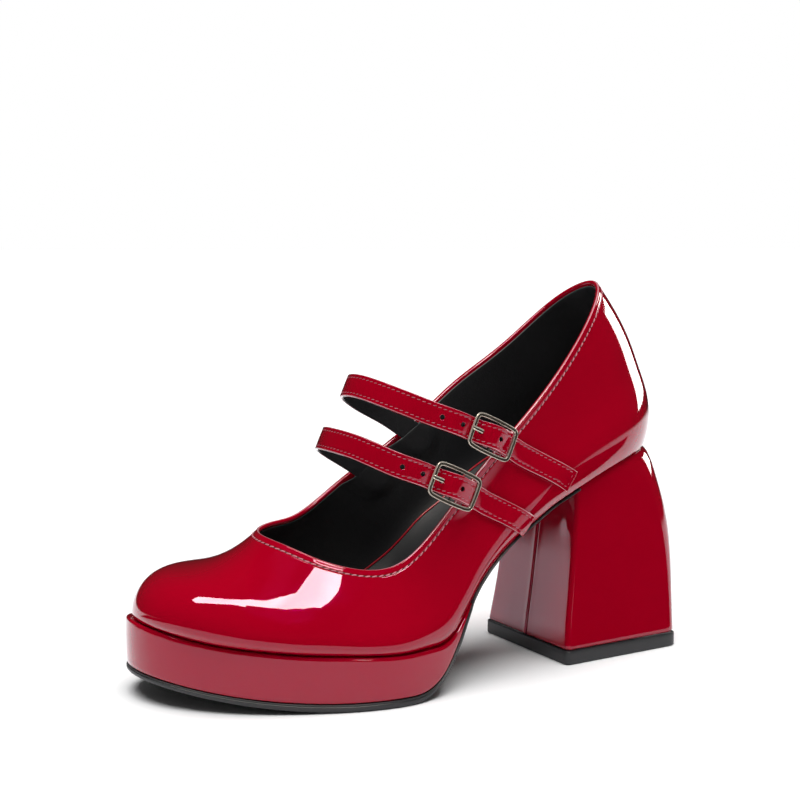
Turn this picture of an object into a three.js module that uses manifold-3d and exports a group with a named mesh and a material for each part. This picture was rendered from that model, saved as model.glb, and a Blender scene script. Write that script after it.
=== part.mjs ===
// Double strap mary jane with a covered platform and a flared block heel, left foot, in millimetres.
// Frame: the origin is the middle of the heel tread on the floor, +X to the toe, +Y to the outer side, +Z up.
import * as THREE from "three";
import Module from "manifold-3d";

// Driving sizes
const SHOE_LENGTH = 221; // back of the seat to the toe, along X
const HEEL_BACK = -33; // X of the back of the seat
const BALL_WIDTH = 77; // feather edge to feather edge at the ball
const SEAT_HEIGHT = 84; // floor to the back of the seat
const WALL = 1.8; // upper with its lining
const GAP = 0.3; // free space between pieces that meet

const TREAD_LENGTH = 57;
const TREAD_WIDTH = 56.4;
const TAP_THICKNESS = 5.7;
const TAP_PROUD = 0.45;

const SOLE_THICKNESS = 3; // rubber under the ball
const TOE_THICKNESS = 2.3; // rubber under the toe
const WAIST_THICKNESS = 1.6; // rubber under the waist
const TOE_SPRING = 7.8;
const FLAT_START = 104; // X range of the forefoot that lies on the floor
const FLAT_END = 124;
const TOE_X = 188;
const WELT = 2.3; // how far platform and sole stand out from the feather edge
const RIM_ROUND = 1.5; // rounded upper edge of the platform
const PLATFORM_START = 76; // X where the platform runs out under the arch
const SOLE_START = 21.2; // X where the sole meets the heel breast

const INSOLE_THICKNESS = 2.2;

const STRAP_WIDTH = 9;
const STRAP_THICKNESS = 1.7;
const TAB_THICKNESS = 1.5;
const HOLE_RADIUS = 1;
const WIRE = 0.8; // radius of the buckle wire
const BUCKLE_LENGTH = 20.5; // outer size along the strap
const BUCKLE_WIDTH = 13.6; // outer size across the strap
const BUCKLE_TURN = 2.5; // degrees the buckle turns down from the line of its tab
const PRONG = 0.6; // radius of the prong

// Turns rows with named columns into one list per column.
function table(columns, rows) {
  const out = {};
  columns.forEach((name, k) => {
    out[name] = rows.map((row) => row[k]);
  });
  return out;
}

// Sections round the last, from the back along the outer side (1), the toe, then the inner side (2).
// Plan of the feather edge and the collar edge above it: x from the heel back in shares of SHOE_LENGTH,
// y in shares of BALL_WIDTH, z in shares of SEAT_HEIGHT.
const SECTIONS = table(
  ["name", "featherX", "featherY", "collarX", "collarY", "collarZ"],
  [
    ["back", 0.0226, 0, 0.1339, 0, 1.8],
    ["heel round side 1", 0.0606, 0.1909, 0.171, 0.1896, 1.7214],
    ["heel side 1", 0.1452, 0.3039, 0.2561, 0.3013, 1.4833],
    ["breast side 1", 0.2624, 0.3377, 0.362, 0.3416, 1.2083],
    ["waist side 1", 0.3846, 0.3571, 0.457, 0.3571, 0.9881],
    ["joint side 1", 0.5109, 0.4013, 0.5475, 0.3545, 0.744],
    ["ball side 1", 0.638, 0.4649, 0.638, 0.3377, 0.5774],
    ["vamp side 1", 0.7665, 0.3688, 0.733, 0.2532, 0.6071],
    ["toe corner 1", 0.8896, 0.1792, 0.7783, 0.1429, 0.6607],
    ["toe round 1", 0.9665, -0.0312, 0.8032, 0.013, 0.6929],
    ["tip", 1.0009, -0.2623, 0.8054, -0.1143, 0.7],
    ["toe round 2", 0.9796, -0.4792, 0.7882, -0.2416, 0.7],
    ["toe corner 2", 0.8941, -0.5779, 0.7466, -0.3429, 0.7024],
    ["vamp side 2", 0.7688, -0.5883, 0.6833, -0.4026, 0.719],
    ["ball side 2", 0.6457, -0.526, 0.6109, -0.4091, 0.8321],
    ["joint side 2", 0.5285, -0.3766, 0.5385, -0.3935, 0.9548],
    ["waist side 2", 0.4027, -0.2792, 0.448, -0.374, 1.1167],
    ["breast side 2", 0.2715, -0.3052, 0.3529, -0.361, 1.3095],
    ["heel side 2", 0.1452, -0.3039, 0.2489, -0.3104, 1.5048],
    ["heel round side 2", 0.0606, -0.1909, 0.1629, -0.1974, 1.7179],
  ],
);

// Fullness of each section: how far the wall swells outward and is lifted at a quarter,
// a half and three quarters of the way from feather edge to collar, in shares of BALL_WIDTH.
const FULLNESS = table(
  ["name", "lowOut", "lowUp", "midOut", "midUp", "highOut", "highUp"],
  [
    ["back", 0.1325, -0.0234, 0.1091, -0.0182, 0.1013, 0],
    ["heel round side 1", 0.1117, -0.0338, 0.0442, -0.0312, 0.0545, -0.0026],
    ["heel side 1", 0.0857, -0.0286, 0.013, -0.0247, 0.0091, -0.0039],
    ["breast side 1", 0.0714, -0.0208, 0.013, -0.0182, 0, -0.0039],
    ["waist side 1", 0.0701, -0.0208, 0.013, -0.0169, 0, -0.0039],
    ["joint side 1", 0.0779, -0.0364, 0.0143, -0.026, 0.0026, -0.0052],
    ["ball side 1", 0.0974, -0.0519, 0.0182, -0.0273, 0.0221, -0.0039],
    ["vamp side 1", 0.1143, -0.0636, 0.0286, -0.013, 0.0325, -0.0013],
    ["toe corner 1", 0.1636, -0.0753, 0.0831, 0.0026, 0.0416, -0.0117],
    ["toe round 1", 0.1896, -0.074, 0.174, 0.0429, 0.0403, -0.039],
    ["tip", 0.174, -0.0571, 0.2234, 0.0714, 0.0416, -0.0675],
    ["toe round 2", 0.1481, 0.0052, 0.2169, 0.0779, 0.0377, -0.0779],
    ["toe corner 2", 0.1221, 0.0234, 0.1662, 0.0468, 0.0429, -0.0545],
    ["vamp side 2", 0.0961, -0.0312, 0.0701, 0, 0.0442, -0.0039],
    ["ball side 2", 0.0805, -0.0312, 0.0468, -0.0104, 0.0338, -0.0026],
    ["joint side 2", 0.0675, -0.0286, 0.0286, -0.0156, 0.0156, -0.0026],
    ["waist side 2", 0.0649, -0.0208, 0.0208, -0.0156, 0.013, -0.0026],
    ["breast side 2", 0.0714, -0.0208, 0.0208, -0.0169, 0.0078, -0.0039],
    ["heel side 2", 0.0857, -0.0286, 0.0182, -0.0234, 0.013, -0.0039],
    ["heel round side 2", 0.1117, -0.0338, 0.0494, -0.0299, 0.0571, -0.0026],
  ],
);

// Height of the feather edge along the shoe, x in shares of SHOE_LENGTH, z in shares of SEAT_HEIGHT.
const FEATHER = table(
  ["x", "z"],
  [
    [0, 1.0071],
    [0.0588, 0.9857],
    [0.1312, 0.9476],
    [0.1765, 0.9119],
    [0.2217, 0.8667],
    [0.2715, 0.8119],
    [0.3077, 0.769],
    [0.3439, 0.7143],
    [0.3891, 0.6476],
    [0.4208, 0.5881],
    [0.4525, 0.5155],
    [0.4751, 0.45],
    [0.4991, 0.3643],
    [0.5122, 0.3214],
    [0.5226, 0.2893],
    [0.5385, 0.2524],
    [0.5566, 0.2321],
    [0.5882, 0.2274],
    [0.6335, 0.225],
    [0.6833, 0.2298],
    [0.7421, 0.2405],
    [0.8054, 0.2524],
    [0.8643, 0.2702],
    [0.9186, 0.2905],
    [0.9638, 0.3167],
    [1, 0.3429],
  ],
);

// Upper face of the sole where it climbs behind the platform, same shares.
const CLIMB = table(
  ["x", "z"],
  [
    [0.4864, 0.4083],
    [0.4932, 0.3726],
    [0.5, 0.3369],
    [0.509, 0.2905],
    [0.5181, 0.2452],
    [0.5317, 0.1917],
    [0.5425, 0.1536],
    [0.5561, 0.1119],
    [0.5742, 0.0726],
    [0.5955, 0.0464],
    [0.6199, 0.0357],
  ],
);

// Heel block sections: share of the way up, breast and back in shares of TREAD_LENGTH from the middle,
// half width in shares of TREAD_WIDTH, squareness of the back corners.
const HEEL = table(
  ["up", "breast", "back", "half", "square"],
  [
    [0, 0.5, -0.5, 0.5, 18],
    [0.12, 0.4842, -0.5123, 0.4823, 15],
    [0.3, 0.4561, -0.5281, 0.4645, 11],
    [0.5, 0.4281, -0.5386, 0.4486, 7.5],
    [0.68, 0.4018, -0.5298, 0.4362, 5],
    [0.84, 0.3789, -0.4965, 0.4255, 3.5],
    [0.94, 0.3667, -0.4754, 0.4167, 2.7],
    [1, 0.3614, -0.4561, 0.4113, 2.2],
  ],
);

// Free loops of the straps over the instep, x, y, z in the shares above and lean in degrees.
const REAR_LOOP = table(
  ["x", "y", "z", "lean"],
  [
    [0.543, 0.3325, 1.2274, 10],
    [0.59, 0.2468, 1.2833, 14],
    [0.6181, 0.1169, 1.3238, 20],
    [0.6308, -0.026, 1.344, 22],
    [0.6271, -0.1558, 1.3357, 22],
    [0.6045, -0.2649, 1.3024, 20],
    [0.5683, -0.3221, 1.2476, 14],
  ],
);

const FRONT_LOOP = table(
  ["x", "y", "z", "lean"],
  [
    [0.6208, 0.3221, 1.025, 9],
    [0.6543, 0.2403, 1.0714, 11],
    [0.6724, 0.1169, 1.1, 16],
    [0.6796, -0.026, 1.1083, 21],
    [0.6751, -0.1558, 1.1024, 22],
    [0.6561, -0.2701, 1.0738, 20],
    [0.6244, -0.3364, 1.0262, 14],
  ],
);

// Strap ends held inside the inner wall, x and z in the shares above.
const REAR_ROOT = table(
  ["x", "z"],
  [
    [0.4434, 1.0381],
    [0.4706, 1.0869],
    [0.4977, 1.1357],
  ],
);

const FRONT_ROOT = table(
  ["x", "z"],
  [
    [0.5271, 0.8714],
    [0.5498, 0.9083],
    [0.5724, 0.9464],
  ],
);

// Tabs on the outer wall: squared end and buckle middle seen from the side, in the shares above.
const TABS = table(
  ["name", "endX", "endZ", "buckleX", "buckleZ"],
  [
    ["rear", 0.281, 0.8881, 0.4498, 1.1238],
    ["front", 0.3738, 0.7036, 0.5249, 0.9179],
  ],
);

const toX = (share) => HEEL_BACK + share * SHOE_LENGTH;
const toY = (share) => share * BALL_WIDTH;
const toZ = (share) => share * SEAT_HEIGHT;

const [REAR_TAB, FRONT_TAB] = TABS.name.map((name, k) => ({
  endX: toX(TABS.endX[k]),
  endZ: toZ(TABS.endZ[k]),
  buckleX: toX(TABS.buckleX[k]),
  buckleZ: toZ(TABS.buckleZ[k]),
}));

// Smooth curve through knots ts and values ys; the slopes are settled until the bend is continuous.
// With a period it closes on itself.
function smooth(ts, ys, period = 0) {
  const n = ts.length;
  const step = (i) => (i + 1 < n ? ts[i + 1] - ts[i] : period - ts[i] + ts[0]);
  const rise = (i) => ys[(i + 1) % n] - ys[i];
  const slope = new Array(n).fill(0);
  for (let pass = 0; pass < 80; pass += 1) {
    for (let i = 0; i < n; i += 1) {
      const before = i > 0 || period ? (i + n - 1) % n : -1;
      const after = i + 1 < n || period ? (i + 1) % n : -1;
      if (before < 0) {
        slope[i] = (3 * rise(i) / step(i) - slope[after]) / 2;
      } else if (after < 0) {
        slope[i] = (3 * rise(before) / step(before) - slope[before]) / 2;
      } else {
        const a = step(before);
        const b = step(i);
        const pull = 3 * (rise(before) / (a * a) + rise(i) / (b * b));
        slope[i] = (pull - slope[before] / a - slope[after] / b) / (2 / a + 2 / b);
      }
    }
  }
  return (t) => {
    let s = t;
    if (period) {
      s = ((((t - ts[0]) % period) + period) % period) + ts[0];
    } else if (t <= ts[0]) {
      return ys[0] + slope[0] * (t - ts[0]);
    } else if (t >= ts[n - 1]) {
      return ys[n - 1] + slope[n - 1] * (t - ts[n - 1]);
    }
    let i = 0;
    while (i < n - 1 && s >= ts[i + 1]) {
      i += 1;
    }
    const h = step(i);
    const q = (s - ts[i]) / h;
    const j = (i + 1) % n;
    const start = (1 + 2 * q) * (1 - q) * (1 - q) * ys[i] + q * (1 - q) * (1 - q) * h * slope[i];
    const end = q * q * (3 - 2 * q) * ys[j] + q * q * (q - 1) * h * slope[j];
    return start + end;
  };
}

// Heights along the shoe
const featherZ = smooth(FEATHER.x.map(toX), FEATHER.z.map(toZ));
const climbZ = smooth(CLIMB.x.map(toX), CLIMB.z.map(toZ));
const CLIMB_START = toX(CLIMB.x[0]);

function soleTop(x) {
  if (x < CLIMB_START) {
    return featherZ(x) - GAP;
  }
  if (x < FLAT_START) {
    return climbZ(x);
  }
  if (x <= FLAT_END) {
    return SOLE_THICKNESS;
  }
  const reach = (x - FLAT_END) / (TOE_X - FLAT_END);
  return SOLE_THICKNESS + TOE_SPRING * reach * reach;
}

function soleBottom(x) {
  if (x >= FLAT_START && x <= FLAT_END) {
    return 0;
  }
  const slope = (soleTop(x + 0.5) - soleTop(x - 0.5)) / 1;
  const blend = THREE.MathUtils.smoothstep(x, 90, FLAT_START);
  const toe = THREE.MathUtils.smoothstep(x, FLAT_END, TOE_X);
  let thick = WAIST_THICKNESS + (SOLE_THICKNESS - WAIST_THICKNESS) * blend;
  thick += (TOE_THICKNESS - SOLE_THICKNESS) * toe;
  return Math.max(0, soleTop(x) - thick * Math.sqrt(1 + slope * slope));
}

// Round parameter u of the feather edge: 0 at the back, then outer side, toe, inner side, 1 at the back.
const KNOTS = [0];
for (let i = 1; i <= SECTIONS.name.length; i += 1) {
  const j = i % SECTIONS.name.length;
  const dx = toX(SECTIONS.featherX[j]) - toX(SECTIONS.featherX[i - 1]);
  const dy = toY(SECTIONS.featherY[j]) - toY(SECTIONS.featherY[i - 1]);
  KNOTS.push(KNOTS[i - 1] + Math.hypot(dx, dy));
}
const ROUND = KNOTS.pop();
const round = (values) => {
  const curve = smooth(KNOTS, values, ROUND);
  return (u) => curve(u * ROUND);
};
const planX = round(SECTIONS.featherX.map(toX));
const planY = round(SECTIONS.featherY.map(toY));
const collarX = round(SECTIONS.collarX.map(toX));
const collarY = round(SECTIONS.collarY.map(toY));
const collarZ = round(SECTIONS.collarZ.map(toZ));
const lowOut = round(FULLNESS.lowOut.map(toY));
const lowUp = round(FULLNESS.lowUp.map(toY));
const midOut = round(FULLNESS.midOut.map(toY));
const midUp = round(FULLNESS.midUp.map(toY));
const highOut = round(FULLNESS.highOut.map(toY));
const highUp = round(FULLNESS.highUp.map(toY));

// Outward direction of the feather edge in plan.
function outward(u) {
  const dx = planX(u + 0.002) - planX(u - 0.002);
  const dy = planY(u + 0.002) - planY(u - 0.002);
  return new THREE.Vector3(-dy, dx, 0).normalize();
}

// The last's side at section u, height v: 0 on the feather edge, 1 on the collar.
// Five guide points per section joined by one smooth curve.
function side(u, v) {
  const x = planX(u);
  const feather = new THREE.Vector3(x, planY(u), featherZ(x));
  const collar = new THREE.Vector3(collarX(u), collarY(u), collarZ(u));
  const out = outward(u);
  const guide = (share, swell, lift) =>
    feather.clone().lerp(collar, share).addScaledVector(out, swell).add(new THREE.Vector3(0, 0, lift));
  const points = [
    feather,
    guide(0.25, lowOut(u), lowUp(u)),
    guide(0.5, midOut(u), midUp(u)),
    guide(0.75, highOut(u), highUp(u)),
    collar,
  ];
  if (v > 1) {
    const end = guide(0.75, highOut(u), highUp(u));
    return collar.clone().addScaledVector(collar.clone().sub(end), 6 * (v - 1));
  }
  const knots = [0, 0, 0, 0, 0.5, 1, 1, 1, 1];
  const span = v < 0.5 ? 3 : 4;
  const d = points.slice(span - 3, span + 1);
  for (let level = 1; level <= 3; level += 1) {
    for (let j = 3; j >= level; j -= 1) {
      const low = knots[span - 3 + j];
      const high = knots[span + 1 + j - level];
      d[j] = d[j - 1].clone().lerp(d[j], (v - low) / (high - low));
    }
  }
  return d[3];
}

function sideNormal(u, v) {
  const a = side(u + 0.001, v).sub(side(u - 0.001, v));
  const low = Math.max(v - 0.01, 0);
  const b = side(u, v + 0.01).sub(side(u, low));
  return b.cross(a).normalize();
}

// Point of the side seen at x, z from the outer (1) or inner (-1) side, found by stepping.
function findSide(x, z, which) {
  let u = which > 0 ? 0.25 : 0.75;
  let v = 0.8;
  for (let pass = 0; pass < 40; pass += 1) {
    const p = side(u, v);
    const du = side(u + 0.001, v).sub(p).multiplyScalar(1000);
    const dv = side(u, v + 0.001).sub(p).multiplyScalar(1000);
    const det = du.x * dv.z - du.z * dv.x;
    const ex = x - p.x;
    const ez = z - p.z;
    u += THREE.MathUtils.clamp((ex * dv.z - ez * dv.x) / det, -0.03, 0.03);
    v += THREE.MathUtils.clamp((du.x * ez - du.z * ex) / det, -0.2, 0.2);
    v = Math.max(v, 0.02);
  }
  return { point: side(u, v), normal: sideNormal(u, v) };
}

// A closed skin from points and triangles, turned so that it faces outward.
function closed(points, faces) {
  let volume = 0;
  for (const [a, b, c] of faces) {
    volume += points[a].dot(points[b].clone().cross(points[c]));
  }
  const position = [];
  for (const [a, b, c] of faces) {
    for (const k of volume < 0 ? [a, c, b] : [a, b, c]) {
      position.push(points[k].x, points[k].y, points[k].z);
    }
  }
  const geometry = new THREE.BufferGeometry();
  geometry.setAttribute("position", new THREE.Float32BufferAttribute(position, 3));
  return geometry;
}

// Joins rings of equal count; the ends are closed across (left to right), by a fan, or onto each other.
function stack(rings, ends) {
  const points = rings.flat();
  const count = rings[0].length;
  const faces = [];
  const last = ends === "loop" ? rings.length : rings.length - 1;
  for (let r = 0; r < last; r += 1) {
    const s = (r + 1) % rings.length;
    for (let i = 0; i < count; i += 1) {
      const j = (i + 1) % count;
      faces.push([r * count + i, r * count + j, s * count + j]);
      faces.push([r * count + i, s * count + j, s * count + i]);
    }
  }
  if (ends === "across") {
    const top = (rings.length - 1) * count;
    for (let i = 0; i < count / 2 - 1; i += 1) {
      const far = count - 1 - i;
      faces.push([i, far, i + 1], [i + 1, far, far - 1]);
      faces.push([top + i, top + i + 1, top + far], [top + i + 1, top + far - 1, top + far]);
    }
  }
  if (ends === "fan") {
    const top = (rings.length - 1) * count;
    for (let i = 1; i < count - 1; i += 1) {
      faces.push([0, i + 1, i], [top, top + i, top + i + 1]);
    }
  }
  return closed(points, faces);
}

// Solids for cutting and joining
const wasm = await Module();
wasm.setup();

function toSolid(geometry) {
  const seen = new Map();
  const vertices = [];
  const triangles = [];
  const position = geometry.getAttribute("position");
  for (let i = 0; i < position.count; i += 1) {
    const p = [position.getX(i), position.getY(i), position.getZ(i)];
    const key = p.map((value) => Math.round(value * 2000)).join(" ");
    if (!seen.has(key)) {
      seen.set(key, vertices.length / 3);
      vertices.push(...p);
    }
    triangles.push(seen.get(key));
  }
  const mesh = new wasm.Mesh({
    numProp: 3,
    vertProperties: new Float32Array(vertices),
    triVerts: new Uint32Array(triangles),
  });
  return new wasm.Manifold(mesh);
}

function fromSolid(solid) {
  const mesh = solid.getMesh();
  const position = [];
  for (const k of mesh.triVerts) {
    position.push(...mesh.vertProperties.slice(k * mesh.numProp, k * mesh.numProp + 3));
  }
  const geometry = new THREE.BufferGeometry();
  geometry.setAttribute("position", new THREE.Float32BufferAttribute(position, 3));
  return geometry;
}

// Upper: the side skin outside, the same skin moved in by the wall, open at collar and underneath.
function upperGeometry() {
  const around = 84;
  const outer = 12;
  const inner = 9;
  const rings = [];
  for (let r = 0; r <= outer; r += 1) {
    const v = r / outer;
    const ring = [];
    for (let i = 0; i < around; i += 1) {
      ring.push(side(i / around, v));
    }
    rings.push(ring);
  }
  const rim = [];
  for (let i = 0; i < around; i += 1) {
    const u = i / around;
    const lift = side(u, 1).sub(side(u, 0.97)).normalize();
    rim.push(side(u, 1).addScaledVector(sideNormal(u, 1), -WALL / 2).addScaledVector(lift, WALL * 0.4));
  }
  rings.push(rim);
  for (let r = inner; r >= 0; r -= 1) {
    const v = r / inner;
    const ring = [];
    for (let i = 0; i < around; i += 1) {
      const u = i / around;
      const p = side(u, v);
      if (r === 0) {
        p.addScaledVector(outward(u), -WALL);
        p.z = featherZ(p.x);
      } else {
        p.addScaledVector(sideNormal(u, v), -WALL);
      }
      ring.push(p);
    }
    rings.push(ring);
  }
  return stack(rings, "loop");
}

// Stations along the shoe from an X value to the toe: closer together in the arch and at rounded ends.
function stations(start, backRound) {
  const list = [];
  const ends = [0, 0.6, 2.4, 5.4, 9.6];
  let x = start;
  if (backRound) {
    ends.forEach((step) => list.push(start + step));
    x = start + 9.6;
  } else {
    list.push(start);
  }
  for (const [limit, step] of [[60, 6.5], [CLIMB_START, 3.2], [FLAT_START, 2.6], [TIP_X - 13, 6.6]]) {
    const count = Math.max(1, Math.ceil((limit - x) / step));
    if (limit > x + 1) {
      const from = x;
      for (let i = 1; i <= count; i += 1) {
        x = from + ((limit - from) * i) / count;
        list.push(x);
      }
    }
  }
  for (const step of [9.6, 6.6, 4.2, 2.3, 1, 0.25, 0.02]) {
    list.push(TIP_X - step);
  }
  return list;
}

// u of the feather edge at x on the outer (1) or inner (-1) side.
let TIP_U = 0;
for (let u = 0.4; u < 0.6; u += 0.0005) {
  TIP_U = planX(u) > planX(TIP_U || 0.4) ? u : TIP_U;
}
let BACK_U = -0.02;
for (let u = -0.02; u < 0.02; u += 0.0005) {
  BACK_U = planX(u) < planX(BACK_U) ? u : BACK_U;
}

function edgeAt(x, which) {
  let low = BACK_U;
  let high = which > 0 ? TIP_U : TIP_U - 1;
  for (let pass = 0; pass < 40; pass += 1) {
    const middle = (low + high) / 2;
    if (planX(middle) < x) {
      low = middle;
    } else {
      high = middle;
    }
  }
  return (low + high) / 2;
}

// A layer under the foot: rows from its lower to its upper edge, each with an outset and a height.
function layer(xs, rows) {
  const rings = rows.map((row) => {
    const left = [];
    const right = [];
    for (const x of xs) {
      for (const [which, list] of [[1, left], [-1, right]]) {
        const u = edgeAt(x, which);
        const out = outward(u);
        const outset = row.outset(x);
        const px = planX(u) + out.x * outset;
        const py = planY(u) + out.y * outset;
        list.push(new THREE.Vector3(px, py, row.height(px)));
      }
    }
    return left.concat(right.reverse());
  });
  return stack(rings, "across");
}

const TIP_X = planX(TIP_U);
const BACK_X = planX(BACK_U);

function insoleGeometry() {
  const xs = stations(BACK_X + 0.03, true);
  const inset = () => -(WALL + GAP);
  const top = (x) => {
    const slope = featherZ(x + 0.5) - featherZ(x - 0.5);
    return featherZ(x) + INSOLE_THICKNESS * Math.sqrt(1 + slope * slope);
  };
  return layer(xs, [
    { outset: inset, height: featherZ },
    { outset: inset, height: (x) => top(x) - 0.7 },
    { outset: () => -(WALL + GAP) - 0.7, height: top },
  ]);
}

const weltAt = (x) => 0.2 + (WELT - 0.2) * THREE.MathUtils.smoothstep(x, 70, 94);

function platformGeometry() {
  const xs = stations(PLATFORM_START, false);
  const low = (x) => soleTop(x) + GAP;
  const high = (x) => featherZ(x) - GAP;
  const rounding = (x) => Math.min(RIM_ROUND, 0.45 * (high(x) - low(x)));
  return layer(xs, [
    { outset: (x) => weltAt(x) - 0.4, height: low },
    { outset: weltAt, height: (x) => low(x) + Math.min(0.8, 0.2 * (high(x) - low(x))) },
    { outset: weltAt, height: (x) => high(x) - rounding(x) },
    { outset: (x) => weltAt(x) - 0.3 * rounding(x), height: (x) => high(x) - 0.3 * rounding(x) },
    { outset: (x) => weltAt(x) - rounding(x), height: high },
  ]);
}

function soleGeometry() {
  const xs = stations(SOLE_START, false);
  xs.push(FLAT_END);
  xs.sort((p, q) => p - q);
  return layer(xs, [
    { outset: (x) => weltAt(x) - 0.3, height: soleBottom },
    { outset: (x) => weltAt(x) + 0.2, height: (x) => soleBottom(x) + 0.25 * (soleTop(x) - soleBottom(x)) },
    { outset: (x) => weltAt(x) + 0.2, height: soleTop },
  ]);
}

// Heel block: squared at the tread, rounded at the seat, with a seam groove down the breast.
const heelBreast = smooth(HEEL.up, HEEL.breast.map((share) => share * TREAD_LENGTH));
const heelBack = smooth(HEEL.up, HEEL.back.map((share) => share * TREAD_LENGTH));
const heelHalf = smooth(HEEL.up, HEEL.half.map((share) => share * TREAD_WIDTH));
const heelSquare = smooth(HEEL.up, HEEL.square);

function heelOutline(up, proud, groove) {
  const breast = heelBreast(up) + proud;
  const back = heelBack(up) - proud;
  const half = heelHalf(up) + proud;
  const power = 2 / heelSquare(up);
  const turn = 4;
  const half1 = [
    [breast - (groove ? 1.1 : 0), groove ? 0.25 : 0.4],
    [breast, groove ? 0.9 : 1],
    [breast, half * 0.55],
    [breast, half - 1.8],
    [breast - 0.45, half - 0.5],
    [breast - 1.8, half],
    [breast - 8, half],
  ];
  const steps = 11;
  for (let i = 0; i < steps; i += 1) {
    const angle = ((Math.PI / 2) * i) / steps;
    const reach = turn - back;
    half1.push([turn - reach * Math.sin(angle) ** power, half * Math.cos(angle) ** power]);
  }
  half1.push([back, half * 0.03]);
  return half1.concat(half1.map(([x, y]) => [x, -y]).reverse());
}

function heelGeometry() {
  const levels = [0, 0.05, 0.12, 0.22, 0.34, 0.46, 0.58, 0.7, 0.82, 0.93, 1];
  const bottom = TAP_THICKNESS + GAP;
  const rings = levels.map((up) =>
    heelOutline(up, 0, true).map(([x, y]) => {
      const top = featherZ(x) - GAP;
      return new THREE.Vector3(x, y, bottom + (top - bottom) * up);
    }),
  );
  return stack(rings, "across");
}

function tapGeometry() {
  const rows = [
    [0, TAP_PROUD - 0.3],
    [0.4, TAP_PROUD],
    [TAP_THICKNESS, TAP_PROUD],
  ];
  const rings = rows.map(([z, proud]) =>
    heelOutline(0, proud, false).map(([x, y]) => new THREE.Vector3(x, y, z)),
  );
  return stack(rings, "across");
}

// Place on the outer wall where a tab runs: a along the tab from the buckle middle, b across it.
function tabPlace(tab, a, b) {
  const dx = tab.buckleX - tab.endX;
  const dz = tab.buckleZ - tab.endZ;
  const length = Math.hypot(dx, dz);
  const x = tab.buckleX + (dx * a - dz * b) / length;
  const z = tab.buckleZ + (dz * a + dx * b) / length;
  return findSide(x, z, 1);
}

// Buckle frame of reference: its middle lies over the tab, t along the strap to the toe, n off the wall.
const TAB_LEAVES = 10; // from the buckle middle back to where the tab runs straight off the wall
const BAR_HEIGHT = GAP + TAB_THICKNESS + GAP + WIRE;

function bucklePose(tab) {
  const low = tabPlace(tab, -TAB_LEAVES - 3, 0);
  const high = tabPlace(tab, -TAB_LEAVES + 1, 0);
  const n = low.normal.clone().add(high.normal).normalize();
  const ahead = high.point.clone().sub(low.point);
  const t = ahead.addScaledVector(n, -ahead.dot(n)).normalize();
  const b = n.clone().cross(t);
  const origin = tabPlace(tab, -TAB_LEAVES, 0).point;
  origin.addScaledVector(t, TAB_LEAVES).addScaledVector(n, BAR_HEIGHT);
  const turn = THREE.MathUtils.degToRad(BUCKLE_TURN);
  t.applyAxisAngle(n, turn);
  b.applyAxisAngle(n, turn);
  return { origin, t, b, n };
}

function placed(pose, along, across, above) {
  return pose.origin
    .clone()
    .addScaledVector(pose.t, along)
    .addScaledVector(pose.b, across)
    .addScaledVector(pose.n, above);
}

// Tab: a stitched band on the outer wall, passing under the middle bar of its buckle.
function tabGeometry(tab) {
  const length = Math.hypot(tab.buckleX - tab.endX, tab.buckleZ - tab.endZ);
  const pose = bucklePose(tab);
  const rings = [];
  const steps = 16;
  for (let i = 0; i <= steps; i += 1) {
    const a = -length + ((length + 2.6) * i) / steps;
    const low = [];
    const high = [];
    for (const share of [-0.5, -0.25, 0, 0.25, 0.5]) {
      const b = share * STRAP_WIDTH;
      const place = tabPlace(tab, a, b);
      const flat = placed(pose, a, Math.sign(pose.b.z) * b, -BAR_HEIGHT);
      const free = THREE.MathUtils.smoothstep(a, -TAB_LEAVES - 7, -TAB_LEAVES + 1);
      const point = place.point.clone().lerp(flat, free);
      const normal = place.normal.clone().lerp(pose.n, free).normalize();
      low.push(point.clone().addScaledVector(normal, GAP));
      high.push(point.clone().addScaledVector(normal, GAP + TAB_THICKNESS));
    }
    rings.push(low.concat(high.reverse()));
  }
  return stack(rings, "across");
}

// Path of a strap: held end, free loop, then under, over and under the bars of its buckle.
function strapPath(tab, loop, root) {
  const pose = bucklePose(tab);
  const knots = [];
  const hold = WALL + GAP + 0.25 + STRAP_THICKNESS / 2;
  root.x.forEach((share, k) => {
    const place = findSide(toX(share), toZ(root.z[k]), -1);
    knots.push({ point: place.point.addScaledVector(place.normal, -hold), normal: place.normal });
  });
  const free = loop.x.map((share, k) => {
    const point = new THREE.Vector3(toX(share), toY(loop.y[k]), toZ(loop.z[k]));
    return { point, lean: THREE.MathUtils.degToRad(loop.lean[k]) };
  });
  free.reverse().forEach((entry, k) => {
    const from = free[Math.max(k - 1, 0)].point;
    const to = free[Math.min(k + 1, free.length - 1)].point;
    const ahead = to.clone().sub(from);
    const flat = new THREE.Vector3(ahead.y, -ahead.x, 0).normalize();
    const up = ahead.clone().cross(flat).normalize();
    const normal = flat.multiplyScalar(Math.cos(entry.lean));
    normal.addScaledVector(up, Math.sign(up.z) * Math.sin(entry.lean));
    knots.push({ point: entry.point, normal });
  });
  const over = WIRE + GAP + STRAP_THICKNESS / 2;
  const bar = BUCKLE_LENGTH / 2 - WIRE;
  const rows = [
    [bar + 4.5, 0.6, -over * 0.92],
    [bar, 0.45, -over],
    [bar * 0.62, 0.35, -over * 0.42],
    [bar * 0.31, 0.2, over * 0.7],
    [0, 0, over],
    [-bar * 0.36, 0, over * 0.8],
    [-bar * 0.83, 0, over * 0.1],
  ];
  for (const [along, aside, above] of rows) {
    knots.push({ point: placed(pose, along, aside, above), normal: pose.n.clone(), along });
  }
  return knots;
}

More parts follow.
